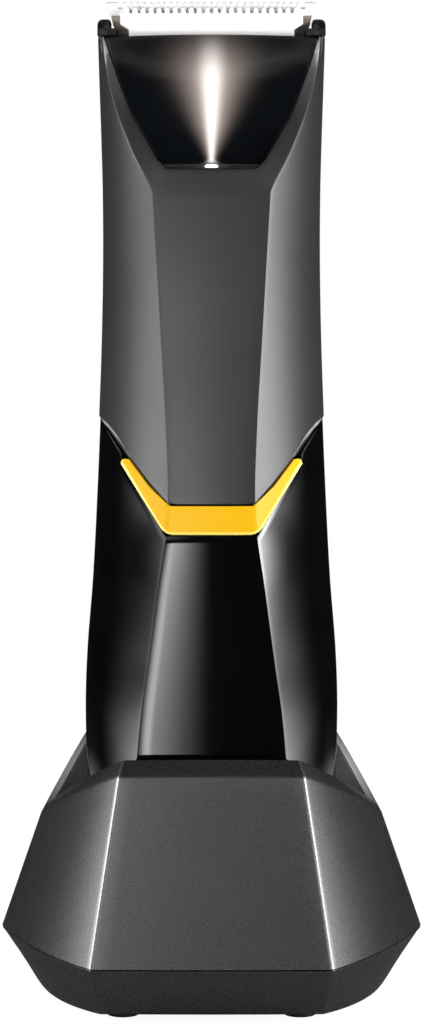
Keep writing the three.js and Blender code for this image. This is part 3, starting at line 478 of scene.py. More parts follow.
def accent_trim(material, painted_highlight_material):
    columns = []
    for inner, outer in trim_columns():
        width = (outer - inner).length
        scale = min(1, width / 1.5)
        stops = [(step * scale / width, sink * scale) for step, sink in TRIM_BEVEL]
        column = []
        for share, sink in stops + [(0.6, 0), (0.8, 0), (1, 0)]:
            x, z = outer.lerp(inner, share)
            column.append(Vector((x, -skin_depth(x, z) - TRIM_PROUD + sink, z)))
        columns.append(column)
    sheet = grid_mesh("accent_trim_bar", columns)
    bevelled(thickened(sheet, 1.1), 0.12, angle=35)
    trim = finished(smoothed(sheet), "trimmer", "yellow_trim", material, "accent_trim")
    # The chamfer along the outer edge gets a paler yellow than the face: a painted highlight where light
    # catches the edge.
    trim.data.materials.append(painted_highlight_material)
    rows = len(columns[0]) - 1
    for face in trim.data.polygons:
        if face.index % rows < 2:
            face.material_index = 1
    return trim


# ---- light scoop ----
LAMP_Z = 144.3  # height of the lamp in the foot of the scoop
DISH = 1.3  # how much deeper the scoop is along its middle


def panel_point(across, z):
    """A point of the scoop; across runs from -1 to 1."""
    half = straight_at(SCOOP_OUTLINE, z) - 0.18
    rise = clamped((z - 144.2) / 6) * clamped((BODY_TOP + 1.5 - z) / 9)
    hollow = DISH * rise * (1 - abs(across) ** 1.6)
    return Vector((half * across, -value_at(SCOOP_PANEL, 1, z) + hollow, z))


def light_panel(material):
    heights = [143.72, 143.9, 144.2] + spread(144.5, 166.9, 40)
    columns = []
    for across in spread(-1, 1, 48):
        column = [panel_point(across, z) for z in heights]
        column[-1].z += 0.45 * (1 - across * across)
        columns.append(column)
    sheet = grid_mesh("light_panel_scoop", columns)
    bevelled(thickened(sheet, 1.0), 0.15, angle=40)
    return finished(smoothed(sheet), "trimmer", "gloss_black", material, "light_panel")


def led_lens(material):
    """A clear bar with round ends that stands a little out of the scoop's foot."""
    half_length, end_length, half_depth, front = 0.85, 0.27, 0.42, -14.93
    rows = [(0.0, 141.3), (1.0, 141.3), (1.0, 144.2), (0.93, 144.32), (0.7, 144.42), (0.0, 144.46)]
    columns = []
    for i in range(48):
        a = 2 * math.pi * i / 48
        flat = half_length * math.copysign(min(1, abs(math.cos(a)) * 1.3), math.cos(a))
        x, y = flat + end_length * math.cos(a), half_depth * math.sin(a)
        columns.append([(x * share, front + y * share, z) for share, z in rows])
    lens = welded(grid_mesh("led_lens_bar", columns, closed=True))
    return finished(smoothed(lens), "trimmer", "clear_lens", material, "led_lens")


# ---- power button and status light ----
def power_button(material):
    """A round cap with a dished face, on a flange and a stem."""
    low, high = (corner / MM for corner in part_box("power_button"))
    stem, radius, flange, face = 1.5, 5.5, 6.5, high.y
    dish_radius, dish_depth = 4.7, 0.55
    profile = [(0, low.y), (stem, low.y), (stem, face - 3.4), (flange, face - 3.4)]
    profile += [(flange, face - 2.5), (radius, face - 2.5), (radius, face - 0.45)]
    profile += [(radius - 0.12, face - 0.2), (radius - 0.4, face - 0.04), (radius - 0.8, face)]
    for r in (4.4, 3.9, 3.2, 2.4, 1.5, 0.7, 0):
        profile.append((r, face - dish_depth * (1 - (r / dish_radius) ** 2)))
    cap = lathe_along_y("power_button_cap", profile, 0, (low.z + high.z) / 2, 72)
    return finished(smoothed(cap), "power_button", "gloss_black", material, "power_button")


def status_lens(material):
    middle, radius = centre_and_radius("status_lens")
    low, high = (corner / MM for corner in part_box("status_lens"))
    profile = [(0, low.y), (radius, low.y), (radius, high.y - 0.12), (radius - 0.15, high.y)]
    profile += [(radius * 0.5, high.y + 0.1), (0, high.y + 0.14)]
    lens = lathe_along_y("status_lens_dome", profile, 0, middle.z, 40)
    return finished(smoothed(lens), "trimmer", "clear_lens", material, "status_lens")


def end_cap(material):
    """The gloss cap that closes the handle, with its two contact holes."""
    bottom, shoulder, plug_top, plug_inset = 17.0, 19.8, 23.0, 2.2
    contact_radius, contact_x = 2.1, 7
    columns = []
    for u, rear in ring_lines():
        floor = [skin(u, bottom, rear, inset) for inset in (12.0, 6.0, 1.5, 0.3)]
        side = [skin(u, z, rear) for z in (17.25, 17.6, 18.2, 19.0, shoulder)]
        plug = [skin(u, z, rear, plug_inset) for z in (shoulder, plug_top)]
        columns.append([Vector((0, 0, bottom))] + floor + side + plug)
    cap = welded(grid_mesh("end_cap_moulding", columns, closed=True))
    thickened(cap, 1.2)
    hole = [(0, 10), (contact_radius, 10), (contact_radius, 22), (0, 22)]
    for side in (LEFT, RIGHT):
        cut_with(cap, lathe_along_z("hole", hole, side * contact_x, 0))
    return finished(smoothed(cap), "trimmer", "gloss_black", material, "end_cap")


def lathe_along_z(name, profile, x, y, count=64):
    """A round piece about an upright line: radius and z, from the axis up round to the axis."""
    columns = []
    for i in range(count):
        a = 2 * math.pi * i / count
        columns.append([(x + r * math.cos(a), y + r * math.sin(a), z) for r, z in profile])
    return welded(grid_mesh(name, columns, closed=True))


# ---- dock ----
BELT_Z = 10.3  # where the dock is widest, and its shell meets its pan
DOCK_SIDE, DOCK_FRONT, DOCK_FACET = 37.21, 32.92, 20.1  # half-sizes at the belt
DOCK_CURVE = (31.25, 19.5)  # the point that the plan's corner bends towards
DOCK_TAPER, FACET_TAPER = 0.0093, 0.0073  # share lost with each millimetre of height
BASE_TAPER = 0.6875  # how far the pan draws in with each millimetre down
DOCK_WALL = 1.8
DOCK_CROWN = 0.3  # how far the flat panels bow outward in their middle
NOTCH_Z, RIM_FRONT_SLOPE, RIM_REAR_SLOPE, RIM_REAR_TOP = 30.6, 0.443, 1.48, 44.6
RIM_BEVEL, RIM_FRONT_RISE = 2.6, 1.1  # how much higher the inner rim is, and the extra in front
SHELL_BOTTOM = 10.4
BASE_TOP, BASE_BOTTOM = 10.15, 1.2
PAN_FLOOR = 3.2


def dock_point(u, z, inset=0.0, shares=(0.3, 0.8, 0.6)):
    """Plan of the dock: |u| up to 1 crosses the flat panel, 1 to 2 runs round to the side."""
    rise = z - BELT_Z
    shrink = 1 - DOCK_TAPER * rise
    facet = DOCK_FACET * (1 - FACET_TAPER * rise) - inset * shares[0]
    front, width = DOCK_FRONT * shrink - inset, DOCK_SIDE * shrink - inset
    crease = front - DOCK_CROWN
    if abs(u) <= 1:
        return facet * u, crease + DOCK_CROWN * (1 - u * u)
    t = abs(u) - 1
    cx, cy = DOCK_CURVE[0] * shrink - inset * shares[1], DOCK_CURVE[1] * shrink - inset * shares[2]
    x = facet * (1 - t) ** 2 + 2 * t * (1 - t) * cx + width * t * t
    return math.copysign(x, u), crease * (1 - t) ** 2 + 2 * t * (1 - t) * cy


def dock_lines(side_steps=26, panel_steps=12):
    """Plan lines right round the dock, counter-clockwise from its left side, each with its face."""
    side = spread(1, 2, side_steps)
    front = [-u for u in reversed(side)] + spread(-1, 1, panel_steps)[1:-1] + side
    return [(u, -1) for u in front] + [(-u, 1) for u in front[1:-1]]


def dock_skin(u, face, z, inset=0.0):
    x, depth = dock_point(u, z, inset)
    return Vector((x, face * depth, z))


def rim_height(y):
    """Outer rim: it falls from the front to a notch at each side, then climbs to the back."""
    if y < 0:
        return NOTCH_Z - RIM_FRONT_SLOPE * y
    over = NOTCH_Z + RIM_REAR_SLOPE * y - RIM_REAR_TOP
    blend = 1.2  # rounds the corner where the climb ends
    return RIM_REAR_TOP - (math.sqrt(over * over + blend * blend) - over) / 2


def inner_rim_height(y):
    """The inner rim stands higher than the outer one, and most of all in front."""
    return rim_height(y) + RIM_BEVEL + RIM_FRONT_RISE * clamped(-y / 20)


def rim_point(u, face, inset, height_at):
    z = last_below(BELT_Z, 80, lambda z: height_at(dock_skin(u, face, z, inset).y) > z)
    return dock_skin(u, face, z, inset)


def dock_profile(u, face):
    rim, inner = rim_point(u, face, 0, rim_height), rim_point(u, face, DOCK_WALL, inner_rim_height)
    outside = [dock_skin(u, face, z) for z in spread(SHELL_BOTTOM, rim.z, 10)]
    inside = [dock_skin(u, face, z, DOCK_WALL) for z in spread(inner.z, SHELL_BOTTOM, 8)]
    return outside + [rim.lerp(inner, 0.5)] + inside


def dock_shell(material):
    shell = closed_ring("dock_shell_body", [dock_profile(u, face) for u, face in dock_lines()])
    bevelled(shell, 0.42, segments=4, angle=18)
    return finished(smoothed(shell), "dock", "dock_plastic", material, "dock_shell")


def base_skin(u, face, z, inset=0.0):
    """The pan draws in less at its corners than at its sides."""
    x, depth = dock_point(u, BELT_Z, (BELT_Z - z) * BASE_TAPER + inset, (0.2, 0.36, 0.36))
    return Vector((x, face * depth, z))


def dock_base(material):
    """The lower pan: a lip, a sloping side, a rounded foot and a flat floor, hollow inside."""
    columns = []
    foot_turn = [(1.28, 0.25), (1.6, 0.11), (2.1, 0.03), (2.8, 0)]
    lip = [(BASE_TOP - 0.5, -0.06), (BASE_TOP - 0.4, -0.13), (BASE_TOP, 0.01)]
    sides = [(z, 0) for z in spread(3.4, BASE_TOP - 0.6, 6)]
    for u, face in dock_lines():
        middle, turn = Vector((0, 0, BASE_BOTTOM)), base_skin(u, face, BASE_BOTTOM, 0.45)
        outer = [middle.lerp(turn, share) for share in (0, 0.35, 0.7, 0.93, 1)]
        outer += [base_skin(u, face, z, inset) for z, inset in foot_turn + sides + lip]
        inner = [base_skin(u, face, z, DOCK_WALL + 0.6) for z in (BASE_TOP, 6.5, PAN_FLOOR)]
        columns.append(outer + inner + [Vector((0, 0, PAN_FLOOR))])
    base = welded(grid_mesh("dock_base_pan", columns, closed=True))
    bevelled(base, 0.25, angle=24)
    cutters = []
    for corner in CORNERS:
        cutters.append(upright_hole("foot_" + corner, 0.15, 1.6))
        cutters.append(upright_hole("base_screw_" + corner, 0.3, 2.4))
    low, high = (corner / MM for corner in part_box("usb_socket"))
    cutters.append(port_cutter(high.x + 0.25, (low.z + high.z) / 2, (high.z - low.z) / 2 + 0.25))
    for cutter in cutters:
        cut_with(base, cutter)
    return finished(smoothed(base), "dock", "dock_plastic", material, "dock_base")


def upright_hole(node, play, top):
    """A cutter that opens the pan from below round one of its feet or screws."""
    middle, radius = centre_and_radius(node)
    profile = [(0, -1), (radius + play, -1), (radius + play, top), (0, top)]
    return lathe_along_z("hole", profile, middle.x, middle.y)


def port_cutter(half_width, z, radius):
    """A cutter with round ends that opens the pan's back for the socket."""
    columns = []
    for i in range(48):
        a = -2 * math.pi * i / 48
        x = (half_width - radius) * math.copysign(1, math.cos(a)) + radius * math.cos(a)
        columns.append([(0, 20, z), (x, 20, z + radius * math.sin(a)),
                        (x, 40, z + radius * math.sin(a)), (0, 40, z)])
    return welded(grid_mesh("hole", columns, closed=True))


def dock_cradle(material):
    """The deck inside the rim and the tub that takes the groomer's end."""
    deck_z, floor_z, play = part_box("dock_cradle")[1].z / MM, 16.8, 0.6
    edge_lines = dock_lines(120, 80)
    columns = []
    for u, rear in ring_lines():
        mouth = skin(u, deck_z, rear, -play)
        outer = deck_edge(mouth, deck_z, edge_lines)
        out = (outer - mouth).normalized()
        column = [Vector((outer.x, outer.y, deck_z - 1.6)), outer, outer.lerp(mouth, 0.5)]
        column += [mouth + out * 0.7, mouth + out * 0.2 - Vector((0, 0, 0.15))]
        column += [skin(u, z, rear, -play) for z in (deck_z - 0.7, 27, 23, 20, 18.2, 17.3)]
        turn = [skin(u, 17, rear, inset) for inset in (0.2, 3, 10)]
        column += [Vector((point.x, point.y, floor_z)) for point in turn]
        columns.append(column + [Vector((0, 0, floor_z))])
    tub = welded(grid_mesh("dock_cradle_tub", columns, closed=True))
    thickened(tub, 1.2)
    return finished(smoothed(tub), "dock", "dock_plastic", material, "dock_cradle")


def deck_edge(mouth, z, lines):
    """The point of the dock's inner wall that lies straight out from the middle past the mouth."""
    aim = math.atan2(mouth.y, mouth.x)

    def miss(point):
        return abs(math.remainder(math.atan2(point.y, point.x) - aim, 2 * math.pi))

    return min((dock_skin(u, face, z, DOCK_WALL + GAP) for u, face in lines), key=miss)


def foot(corner, material):
    name = "foot_" + corner
    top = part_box(name)[1].z / MM
    middle, radius = centre_and_radius(name)
    profile = [(0, 0), (radius - 0.9, 0), (radius - 0.35, 0.08), (radius - 0.08, 0.35)]
    profile += [(radius, 0.7), (radius, top - 0.2), (radius - 0.2, top), (0, top)]
    pad = lathe_along_z(name + "_pad", profile, middle.x, middle.y, 48)
    return finished(smoothed(pad), "dock", "rubber", material, name)


# ---- materials ----
class Graph:
    """A node tree, with short ways to add the sums that its shaders are made of."""

    def __init__(self, tree):
        self.nodes, self.links = tree.nodes, tree.links

    def math(self, operation, first, second=0.0, third=0.0):
        node = self.nodes.new("ShaderNodeMath")
        node.operation = operation
        for socket, value in zip(node.inputs, (first, second, third)):
            if isinstance(value, (int, float)):
                socket.default_value = value
            else:
                self.links.new(value, socket)
        return node.outputs["Value"]

    def ranged(self, source, low, high, start=0.3, end=0.7, ease="LINEAR"):
        node = self.nodes.new("ShaderNodeMapRange")
        node.interpolation_type = ease
        for socket, value in (("From Min", start), ("From Max", end), ("To Min", low), ("To Max", high)):
            node.inputs[socket].default_value = value
        self.links.new(source, node.inputs["Value"])
        return node.outputs["Result"]

    def product(self, *factors):
        total = factors[0]
        for factor in factors[1:]:
            total = self.math("MULTIPLY", total, factor)
        return total

    def total(self, *terms):
        total = terms[0]
        for term in terms[1:]:
            total = self.math("ADD", total, term)
        return total


class Shader(Graph):
    """A Principled material with helpers for the nodes that vary over its surface."""

    def __init__(self, name, **sockets):
        self.material = bpy.data.materials.new(name)
        self.material.use_nodes = True
        super().__init__(self.material.node_tree)
        self.bsdf = self.nodes["Principled BSDF"]
        for socket, value in sockets.items():
            self.set(socket.replace("_", " "), value)
        self.place = self.nodes.new("ShaderNodeTexCoord").outputs["Object"]

    def set(self, socket, value):
        if isinstance(value, tuple) and len(value) == 3:
            value = (*value, 1)
        self.bsdf.inputs[socket].default_value = value

    def link(self, source, socket):
        self.links.new(source, self.bsdf.inputs[socket])

    def stretched(self, x, y, z):
        """Object coordinates scaled along each axis."""
        mapping = self.nodes.new("ShaderNodeMapping")
        mapping.inputs["Scale"].default_value = (x, y, z)
        self.links.new(self.place, mapping.inputs["Vector"])
        return mapping.outputs["Vector"]

    def noise(self, size_mm, detail=2.0, roughness=0.5, place=None):
        """Noise from 0 to 1 whose blotches are about size_mm across."""
        node = self.nodes.new("ShaderNodeTexNoise")
        node.inputs["Scale"].default_value = 1000 / size_mm
        node.inputs["Detail"].default_value = detail
        node.inputs["Roughness"].default_value = roughness
        self.links.new(place or self.place, node.inputs["Vector"])
        return node.outputs["Fac"]

    def ramp(self, source, stops):
        node = self.nodes.new("ShaderNodeValToRGB")
        elements = node.color_ramp.elements
        while len(elements) < len(stops):
            elements.new(0.5)
        for element, (at, colour) in zip(elements, stops):
            element.position = at
            element.color = (*colour, 1)
        self.links.new(source, node.inputs["Fac"])
        return node.outputs["Color"]

    def bump(self, height, depth_mm, strength=1.0):
        node = self.nodes.new("ShaderNodeBump")
        node.inputs["Strength"].default_value = strength
        node.inputs["Distance"].default_value = depth_mm * MM
        self.links.new(height, node.inputs["Height"])
        self.link(node.outputs["Normal"], "Normal")


def shade(colour, factor):
    return tuple(min(1.0, channel * factor) for channel in colour)


def moulded(name, colour, roughness, grain_mm, speckle, depth_mm, **sockets):
    """Moulded plastic: a fine grain in colour, roughness and height, and a faint broad cloudiness."""
    shader = Shader(name, **sockets)
    grain = shader.noise(grain_mm, 3, 0.65)
    cloud = shader.noise(14, 2)
    mixed = shader.math("ADD", shader.math("MULTIPLY", grain, 0.8), shader.math("MULTIPLY", cloud, 0.2))
    stops = [(0.36, shade(colour, 1 - speckle)), (0.5, colour), (0.64, shade(colour, 1 + speckle))]
    shader.link(shader.ramp(mixed, stops), "Base Color")
    shader.link(shader.ranged(mixed, roughness * 0.9, roughness * 1.12), "Roughness")
    shader.bump(grain, depth_mm, 0.6)
    return shader.material


def gloss_plastic(name, colour, roughness, **sockets):
    """Polished plastic: nearly even, with a slow ripple and faint hairline polish marks."""
    shader = Shader(name, **sockets)
    ripple = shader.noise(9, 1)
    marks = shader.noise(0.5, 4, 0.7, shader.stretched(1, 1, 0.05))
    stops = [(0.3, shade(colour, 0.85)), (0.7, shade(colour, 1.15))]
    shader.link(shader.ramp(ripple, stops), "Base Color")
    shader.link(shader.ranged(marks, roughness * 0.8, roughness * 1.25), "Roughness")
    shader.bump(ripple, 0.004, 0.5)
    return shader.material


def scoop_with_painted_beam(name, colour):
    """Polished black, with the lamp's beam painted up its middle as glow: a white core in a wide warm halo.
    """
    shader = Shader(name, Roughness=0.16)
    ripple = shader.noise(6, 1)
    shader.link(shader.ramp(ripple, [(0.3, shade(colour, 0.85)), (0.7, shade(colour, 1.15))]), "Base Color")
    shader.bump(ripple, 0.004, 0.4)
    split = shader.nodes.new("ShaderNodeSeparateXYZ")
    shader.links.new(shader.place, split.inputs["Vector"])
    across = shader.math("ABSOLUTE", shader.math("DIVIDE", split.outputs["X"], MM))
    up = shader.math("SUBTRACT", shader.math("DIVIDE", split.outputs["Z"], MM), LAMP_Z)

    def bell(width, power):
        """1 along the middle, fading sideways over a width."""
        share = shader.math("POWER", shader.math("DIVIDE", across, width), power)
        return shader.math("POWER", math.e, shader.math("MULTIPLY", share, -1.0))

    start = shader.ranged(up, 0.0, 1.0, 0.1, 0.9)
    flare = shader.ranged(up, 0.7, 0.0, 0.0, 1.3, "SMOOTHSTEP")
    core_width = shader.math("ADD", shader.ranged(up, 0.42, 1.95, 0.5, 17.0), flare)
    core_level = shader.ranged(up, 1.0, 0.0, 14.0, 24.5, "SMOOTHSTEP")
    core = shader.product(bell(core_width, 2.2), core_level, start)
    halo_width = shader.ranged(up, 0.45, 5.9, 0.0, 20.0)
    halo_level = shader.product(
        shader.ranged(up, 0.35, 1.0, 0.5, 7.0), shader.ranged(up, 1.0, 0.12, 14.0, 23.5, "SMOOTHSTEP"))
    halo = shader.product(bell(halo_width, 2.0), halo_level, start)
    colours = []
    for glow, tint in ((core, (0.95, 0.92, 0.90)), (halo, (0.58, 0.475, 0.425))):
        tinted = shader.nodes.new("ShaderNodeVectorMath")
        tinted.operation = "SCALE"
        tinted.inputs[0].default_value = tint
        shader.links.new(glow, tinted.inputs["Scale"])
        colours.append(tinted.outputs["Vector"])
    total = shader.nodes.new("ShaderNodeVectorMath")
    shader.links.new(colours[0], total.inputs[0])
    shader.links.new(colours[1], total.inputs[1])
    # The core and the halo are painted light: emission that stands in for the lamp's beam falling on the
    # scoop.
    shader.link(total.outputs["Vector"], "Emission Color")
    shader.set("Emission Strength", 0.9)
    return shader.material


def ground_ceramic(name):
    shader = Shader(name, Coat_Weight=0.15, Coat_Roughness=0.2)
    grain = shader.noise(0.12, 3, 0.7)
    lay = shader.noise(0.25, 2, 0.5, shader.stretched(0.06, 1, 1))
    stops = [(0.3, (0.86, 0.86, 0.85)), (0.7, (0.94, 0.94, 0.93))]
    shader.link(shader.ramp(grain, stops), "Base Color")
    shader.link(shader.ranged(lay, 0.28, 0.42), "Roughness")
    shader.bump(lay, 0.004, 0.5)
    return shader.material


def drawn_metal(name, colour, roughness, stretch):
    """Bright metal with fine parallel working marks."""
    shader = Shader(name, Metallic=1.0)
    marks = shader.noise(0.35, 4, 0.65, shader.stretched(*stretch))
    shader.link(shader.ramp(marks, [(0.3, shade(colour, 0.88)), (0.7, shade(colour, 1.08))]), "Base Color")
    shader.link(shader.ranged(marks, roughness * 0.75, roughness * 1.35), "Roughness")
    shader.bump(marks, 0.006, 0.5)
    return shader.material


def circuit_board(name):
    """Green solder mask over a faint grid of tracks."""
    shader = Shader(name, Coat_Weight=0.5, Coat_Roughness=0.2)
    tracks = shader.nodes.new("ShaderNodeTexBrick")
    tracks.inputs["Scale"].default_value = 420
    tracks.inputs["Mortar Size"].default_value = 0.12
    for socket, value in (("Color1", (0.010, 0.110, 0.045)), ("Color2", (0.008, 0.090, 0.038))):
        tracks.inputs[socket].default_value = (*value, 1)
    tracks.inputs["Mortar"].default_value = (0.03, 0.20, 0.09, 1)
    shader.links.new(shader.place, tracks.inputs["Vector"])
    shader.link(tracks.outputs["Color"], "Base Color")
    shader.link(shader.ranged(shader.noise(0.6), 0.3, 0.5), "Roughness")
    shader.bump(tracks.outputs["Fac"], 0.02, 0.5)
    return shader.material


def clear_plastic(name, glow):
    shader = Shader(name, Transmission_Weight=0.35, IOR=1.49)
    frost = shader.noise(0.2, 2)
    shader.link(shader.ramp(frost, [(0.3, (0.86, 0.88, 0.92)), (0.7, (0.96, 0.97, 1.0))]), "Base Color")
    shader.link(shader.ranged(frost, 0.06, 0.14), "Roughness")
    shader.set("Emission Color", (1.0, 0.98, 0.96))
    shader.set("Emission Strength", glow)
    return shader.material


MATTE = moulded("matte_shell", (0.0185, 0.019, 0.020), 0.30, 0.22, 0.10, 0.012, Specular_IOR_Level=0.72)
GLOSS = gloss_plastic("gloss_black", (0.0016, 0.0017, 0.0020), 0.06)
# The scoop's material paints the lamp's beam on it as emission.
SCOOP = scoop_with_painted_beam("scoop_black_painted_beam", (0.0028, 0.0036, 0.0046))
YELLOW = moulded("yellow_trim", (0.76, 0.415, 0.006), 0.26, 0.3, 0.03, 0.004, Specular_IOR_Level=0.15)
# The paler yellow of the trim's chamfer is a painted highlight.
YELLOW_PAINTED_HIGHLIGHT = moulded("yellow_chamfer_painted_highlight", (0.98, 0.76, 0.15), 0.22, 0.3, 0.03, 0.002, Specular_IOR_Level=0.5)
DOCK = moulded(
    "dock_plastic", (0.018, 0.018, 0.0185), 0.27, 0.30, 0.12, 0.014, IOR=1.75, Specular_IOR_Level=1.0)
BLACK = moulded("black_plastic", (0.006, 0.006, 0.0066), 0.34, 0.25, 0.12, 0.01, Specular_IOR_Level=0.35)
NATURAL = moulded("white_plastic", (0.72, 0.72, 0.69), 0.4, 0.4, 0.03, 0.006)
RUBBER = moulded("rubber", (0.012, 0.012, 0.012), 0.75, 0.35, 0.2, 0.02)
WRAP = moulded("cell_wrap", (0.012, 0.10, 0.36), 0.28, 0.8, 0.05, 0.01, Coat_Weight=0.4)
CERAMIC = ground_ceramic("white_ceramic")
STEEL = drawn_metal("steel", (0.56, 0.565, 0.58), 0.26, (1, 1, 0.08))
CARRIER = drawn_metal("carrier_steel", (0.36, 0.32, 0.29), 0.36, (0.08, 1, 1))
GOLD = drawn_metal("gold_contact", (0.83, 0.58, 0.22), 0.2, (1, 1, 0.3))
BOARD = circuit_board("circuit_board")
LAMP = clear_plastic("lamp_lens", 2.5)
CLEAR = clear_plastic("clear_lens", 0.0)

front_cover(MATTE)
rear_cover(MATTE)
handle_sleeve(GLOSS)
accent_trim(YELLOW, YELLOW_PAINTED_HIGHLIGHT)
light_panel(SCOOP)
led_lens(LAMP)
power_button(GLOSS)
status_lens(CLEAR)
end_cap(GLOSS)
dock_shell(DOCK)
dock_base(DOCK)
dock_cradle(DOCK)
for corner in CORNERS:
    foot(corner, RUBBER)

# The CAD pieces that stay get their materials, and a fine edge on what shows.
SLOT_MATERIALS = {
    "matte_shell": MATTE, "gloss_black": GLOSS, "yellow_trim": YELLOW, "clear_lens": CLEAR,
    "white_ceramic": CERAMIC, "black_plastic": BLACK, "white_plastic": NATURAL,
    "dock_plastic": DOCK, "rubber": RUBBER, "steel": STEEL, "gold_contact": GOLD,
    "circuit_board": BOARD, "cell_wrap": WRAP,
}
OWN_MATERIALS = {"blade_carrier": CARRIER, "led_emitter": LAMP}
EDGES = {"blade_frame": 0.22, "fixed_blade": 0.06, "cutter_blade": 0.08, "blade_carrier": 0.1}
for part in frame["record"]["subparts"]:
    node = NODES[part["node"]]
    material = OWN_MATERIALS.get(part["node"], SLOT_MATERIALS[part["material_slot"]])
    node.data.materials.clear()
    node.data.materials.append(material)
    welded(node)
    bevelled(node, EDGES.get(part["node"], 0.06), segments=2, angle=35)
    smoothed(node)


# ---- stage, light and camera ----
def stage_floor():
    """A disc that looks pale to the camera, and fades out towards its edge."""
    radius, count = 0.30, 96
    angles = [2 * math.pi * i / count for i in range(count)]
    points = [Vector((radius * math.cos(a), radius * math.sin(a), 0)) for a in angles]
    mesh = bpy.data.meshes.new("floor")
    mesh.from_pydata(points, [], [tuple(range(count))])
    floor = bpy.data.objects.new("floor", mesh)
    bpy.context.scene.collection.objects.link(floor)
    pale = Shader("pale_floor", Roughness=0.9, Specular_IOR_Level=0.0)
    pale.set("Base Color", (0.22, 0.22, 0.22))
    length = pale.nodes.new("ShaderNodeVectorMath")
    length.operation = "LENGTH"
    pale.links.new(pale.place, length.inputs[0])
    fade = pale.ranged(length.outputs["Value"], 1.0, 0.0, 0.08, 0.2, "SMOOTHSTEP")
    pale.link(fade, "Alpha")
    pale.set("Emission Color", (1, 1, 1))
    seen = pale.nodes.new("ShaderNodeLightPath").outputs["Is Camera Ray"]
    pale.link(pale.math("MULTIPLY", seen, 0.93), "Emission Strength")
    mesh.materials.append(pale.material)


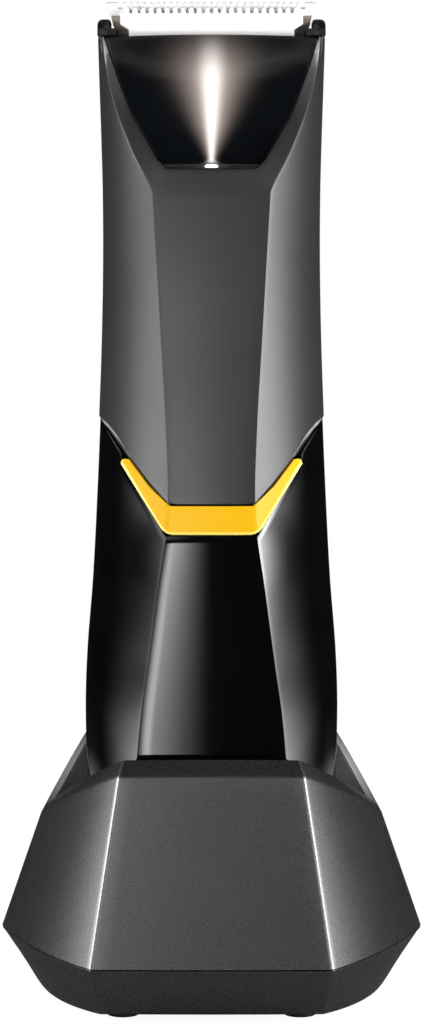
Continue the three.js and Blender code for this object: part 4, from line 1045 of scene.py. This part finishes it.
class Studio(Graph):
    """The room's light, by the direction it comes from: azimuth 0 is the camera's side, 90 is +X."""

    def __init__(self):
        world = bpy.data.worlds.new("studio")
        world.use_nodes = True
        bpy.context.scene.world = world
        super().__init__(world.node_tree)
        split = self.nodes.new("ShaderNodeSeparateXYZ")
        self.links.new(self.nodes.new("ShaderNodeTexCoord").outputs["Generated"], split.inputs["Vector"])
        x, y, z = split.outputs
        angle = self.math("ARCTAN2", x, self.math("MULTIPLY", y, -1.0))
        self.azimuth = self.math("DEGREES", angle)
        self.elevation = self.math("DEGREES", self.math("ARCSINE", z))

    def between(self, source, low, high, soft):
        """1 between low and high, with soft degrees of fade outside each."""
        rise = self.ranged(source, 0, 1, low - soft, low, "SMOOTHSTEP")
        fall = self.ranged(source, 1, 0, high, high + soft, "SMOOTHSTEP")
        return self.product(rise, fall)

    def towards(self, side):
        """The azimuth counted from the camera's side round to one side."""
        return self.math("MULTIPLY", self.azimuth, float(side))

    def beside(self, around):
        """Where the boxes at the sides begin, away from the camera."""
        return self.ranged(around, 0, 1, 38, 52, "SMOOTHSTEP")

    def low_box(self, side, strength, low_strength):
        """A box beside the groomer that dims towards the back, and reaches further round low down."""
        around = self.towards(side)
        edge = self.ranged(self.elevation, 128, 106, -7, 3)
        fall = self.math("DIVIDE", self.math("SUBTRACT", edge, around), 52.0)
        fall = self.math("POWER", self.math("MAXIMUM", self.math("MINIMUM", fall, 1.0), 0.0), 4.0)
        level = self.ranged(self.elevation, low_strength, strength, -8, 0)
        return self.product(
            fall, self.beside(around), level, self.between(self.elevation, -30, -1, 3.6))

    def side_box(self, side, strength, end):
        """A bright box over each low box, for the matte shell beside its creases."""
        around = self.towards(side)
        fall = self.math("POWER", self.ranged(around, 1, 0, end - 49, end), 5.8)
        return self.product(
            fall, self.beside(around), strength, self.between(self.elevation, 3.2, 9, 4))

    def high_box(self, side, strength, end):
        """A box above and behind each side box, for the dock's leaning sides."""
        around = self.towards(side)
        fall = self.math("POWER", self.ranged(around, 1, 0, end - 36, end), 1.5)
        begin = self.ranged(around, 0, 1, 60, 84, "SMOOTHSTEP")
        return self.product(fall, begin, strength, self.between(self.elevation, 13, 26, 6))

    def front_box(self, strength):
        """A box above and left of the camera, for the faces that look forward."""
        across = self.between(self.azimuth, -30, -8, 5)
        return self.product(across, strength, self.between(self.elevation, 10, 27, 5))

    def crease_box(self, side, strength):
        """A box between the camera and each side, which only the bevelled creases mirror."""
        around = self.towards(side)
        return self.product(
            self.between(around, 22, 42, 6), strength, self.between(self.elevation, 8, 30, 6))

    def kicker(self, side, strength):
        """A low box behind each side, for the edges that lean down and out."""
        around = self.towards(side)
        return self.product(
            self.between(around, 112, 160, 8), strength, self.between(self.elevation, -34, -14, 4))

    def front_strip(self, strength):
        """A strip left of the camera: a hard edge in line with the camera, brighter away from it."""
        away = self.towards(LEFT)
        grow = self.math("POWER", self.ranged(away, 0, 1, 0, 7), 1.8)
        edge = self.ranged(away, 0, 1, 0.2, 0.6)
        end = self.ranged(away, 1, 0, 8, 13, "SMOOTHSTEP")
        return self.product(grow, edge, end, strength, self.between(self.elevation, -16, 0.4, 1.2))

    def light(self):
        sky = self.product(self.between(self.elevation, 28, 37, 4), 0.5)
        boxes = self.total(
            self.low_box(RIGHT, 8, 9.5), self.low_box(LEFT, 3, 8),
            self.side_box(RIGHT, 30, 105), self.side_box(LEFT, 4.5, 101),
            self.high_box(RIGHT, 20, 118), self.high_box(LEFT, 18, 121),
            self.front_box(1.1), sky,
            self.crease_box(RIGHT, 1.2), self.crease_box(LEFT, 1.2),
            self.kicker(RIGHT, 5), self.kicker(LEFT, 3.5),
            self.front_strip(13), 0.008)
        seen, room = self.nodes["Background"], self.nodes.new("ShaderNodeBackground")
        seen.inputs["Color"].default_value = (1, 1, 1, 1)
        self.links.new(boxes, room.inputs["Strength"])
        mix, ray = self.nodes.new("ShaderNodeMixShader"), self.nodes.new("ShaderNodeLightPath")
        self.links.new(ray.outputs["Is Camera Ray"], mix.inputs[0])
        self.links.new(room.outputs[0], mix.inputs[1])
        self.links.new(seen.outputs[0], mix.inputs[2])
        self.links.new(mix.outputs[0], self.nodes["World Output"].inputs["Surface"])


def rim_lamps():
    """Two narrow lamps in front that pass beside the grip and light the inside of the dock's back."""
    for side, power in ((LEFT, 42), (RIGHT, 80)):
        lamp = bpy.data.lights.new("rim_lamp", "SPOT")
        lamp.energy = power
        lamp.spot_size = math.radians(3.4)
        lamp.spot_blend = 0.6
        lamp.shadow_soft_size = 0.004
        target = Vector((side * 0.0285, 0.014, 0.037))
        holder = bpy.data.objects.new("rim_lamp", lamp)
        holder.location = (side * 0.032, -0.25, 0.13)
        holder.rotation_euler = (target - holder.location).to_track_quat("-Z", "Y").to_euler()
        bpy.context.scene.collection.objects.link(holder)


def camera():
    """At the height of the groomer's upper body, half a metre in front, looking a little down."""
    lens = bpy.data.cameras.new("camera")
    lens.sensor_fit = "VERTICAL"
    lens.sensor_height = 36
    lens.lens = 99.7
    lens.shift_y = -0.1622
    eye = bpy.data.objects.new("camera", lens)
    eye.location = (0, -0.5, 0.127)
    looking_down = 1.6  # degrees
    eye.rotation_euler = (math.radians(90 - looking_down), 0, 0)
    bpy.context.scene.collection.objects.link(eye)
    bpy.context.scene.camera = eye


stage_floor()
Studio().light()
rim_lamps()
camera()
bpy.context.scene.view_settings.view_transform = "Standard"
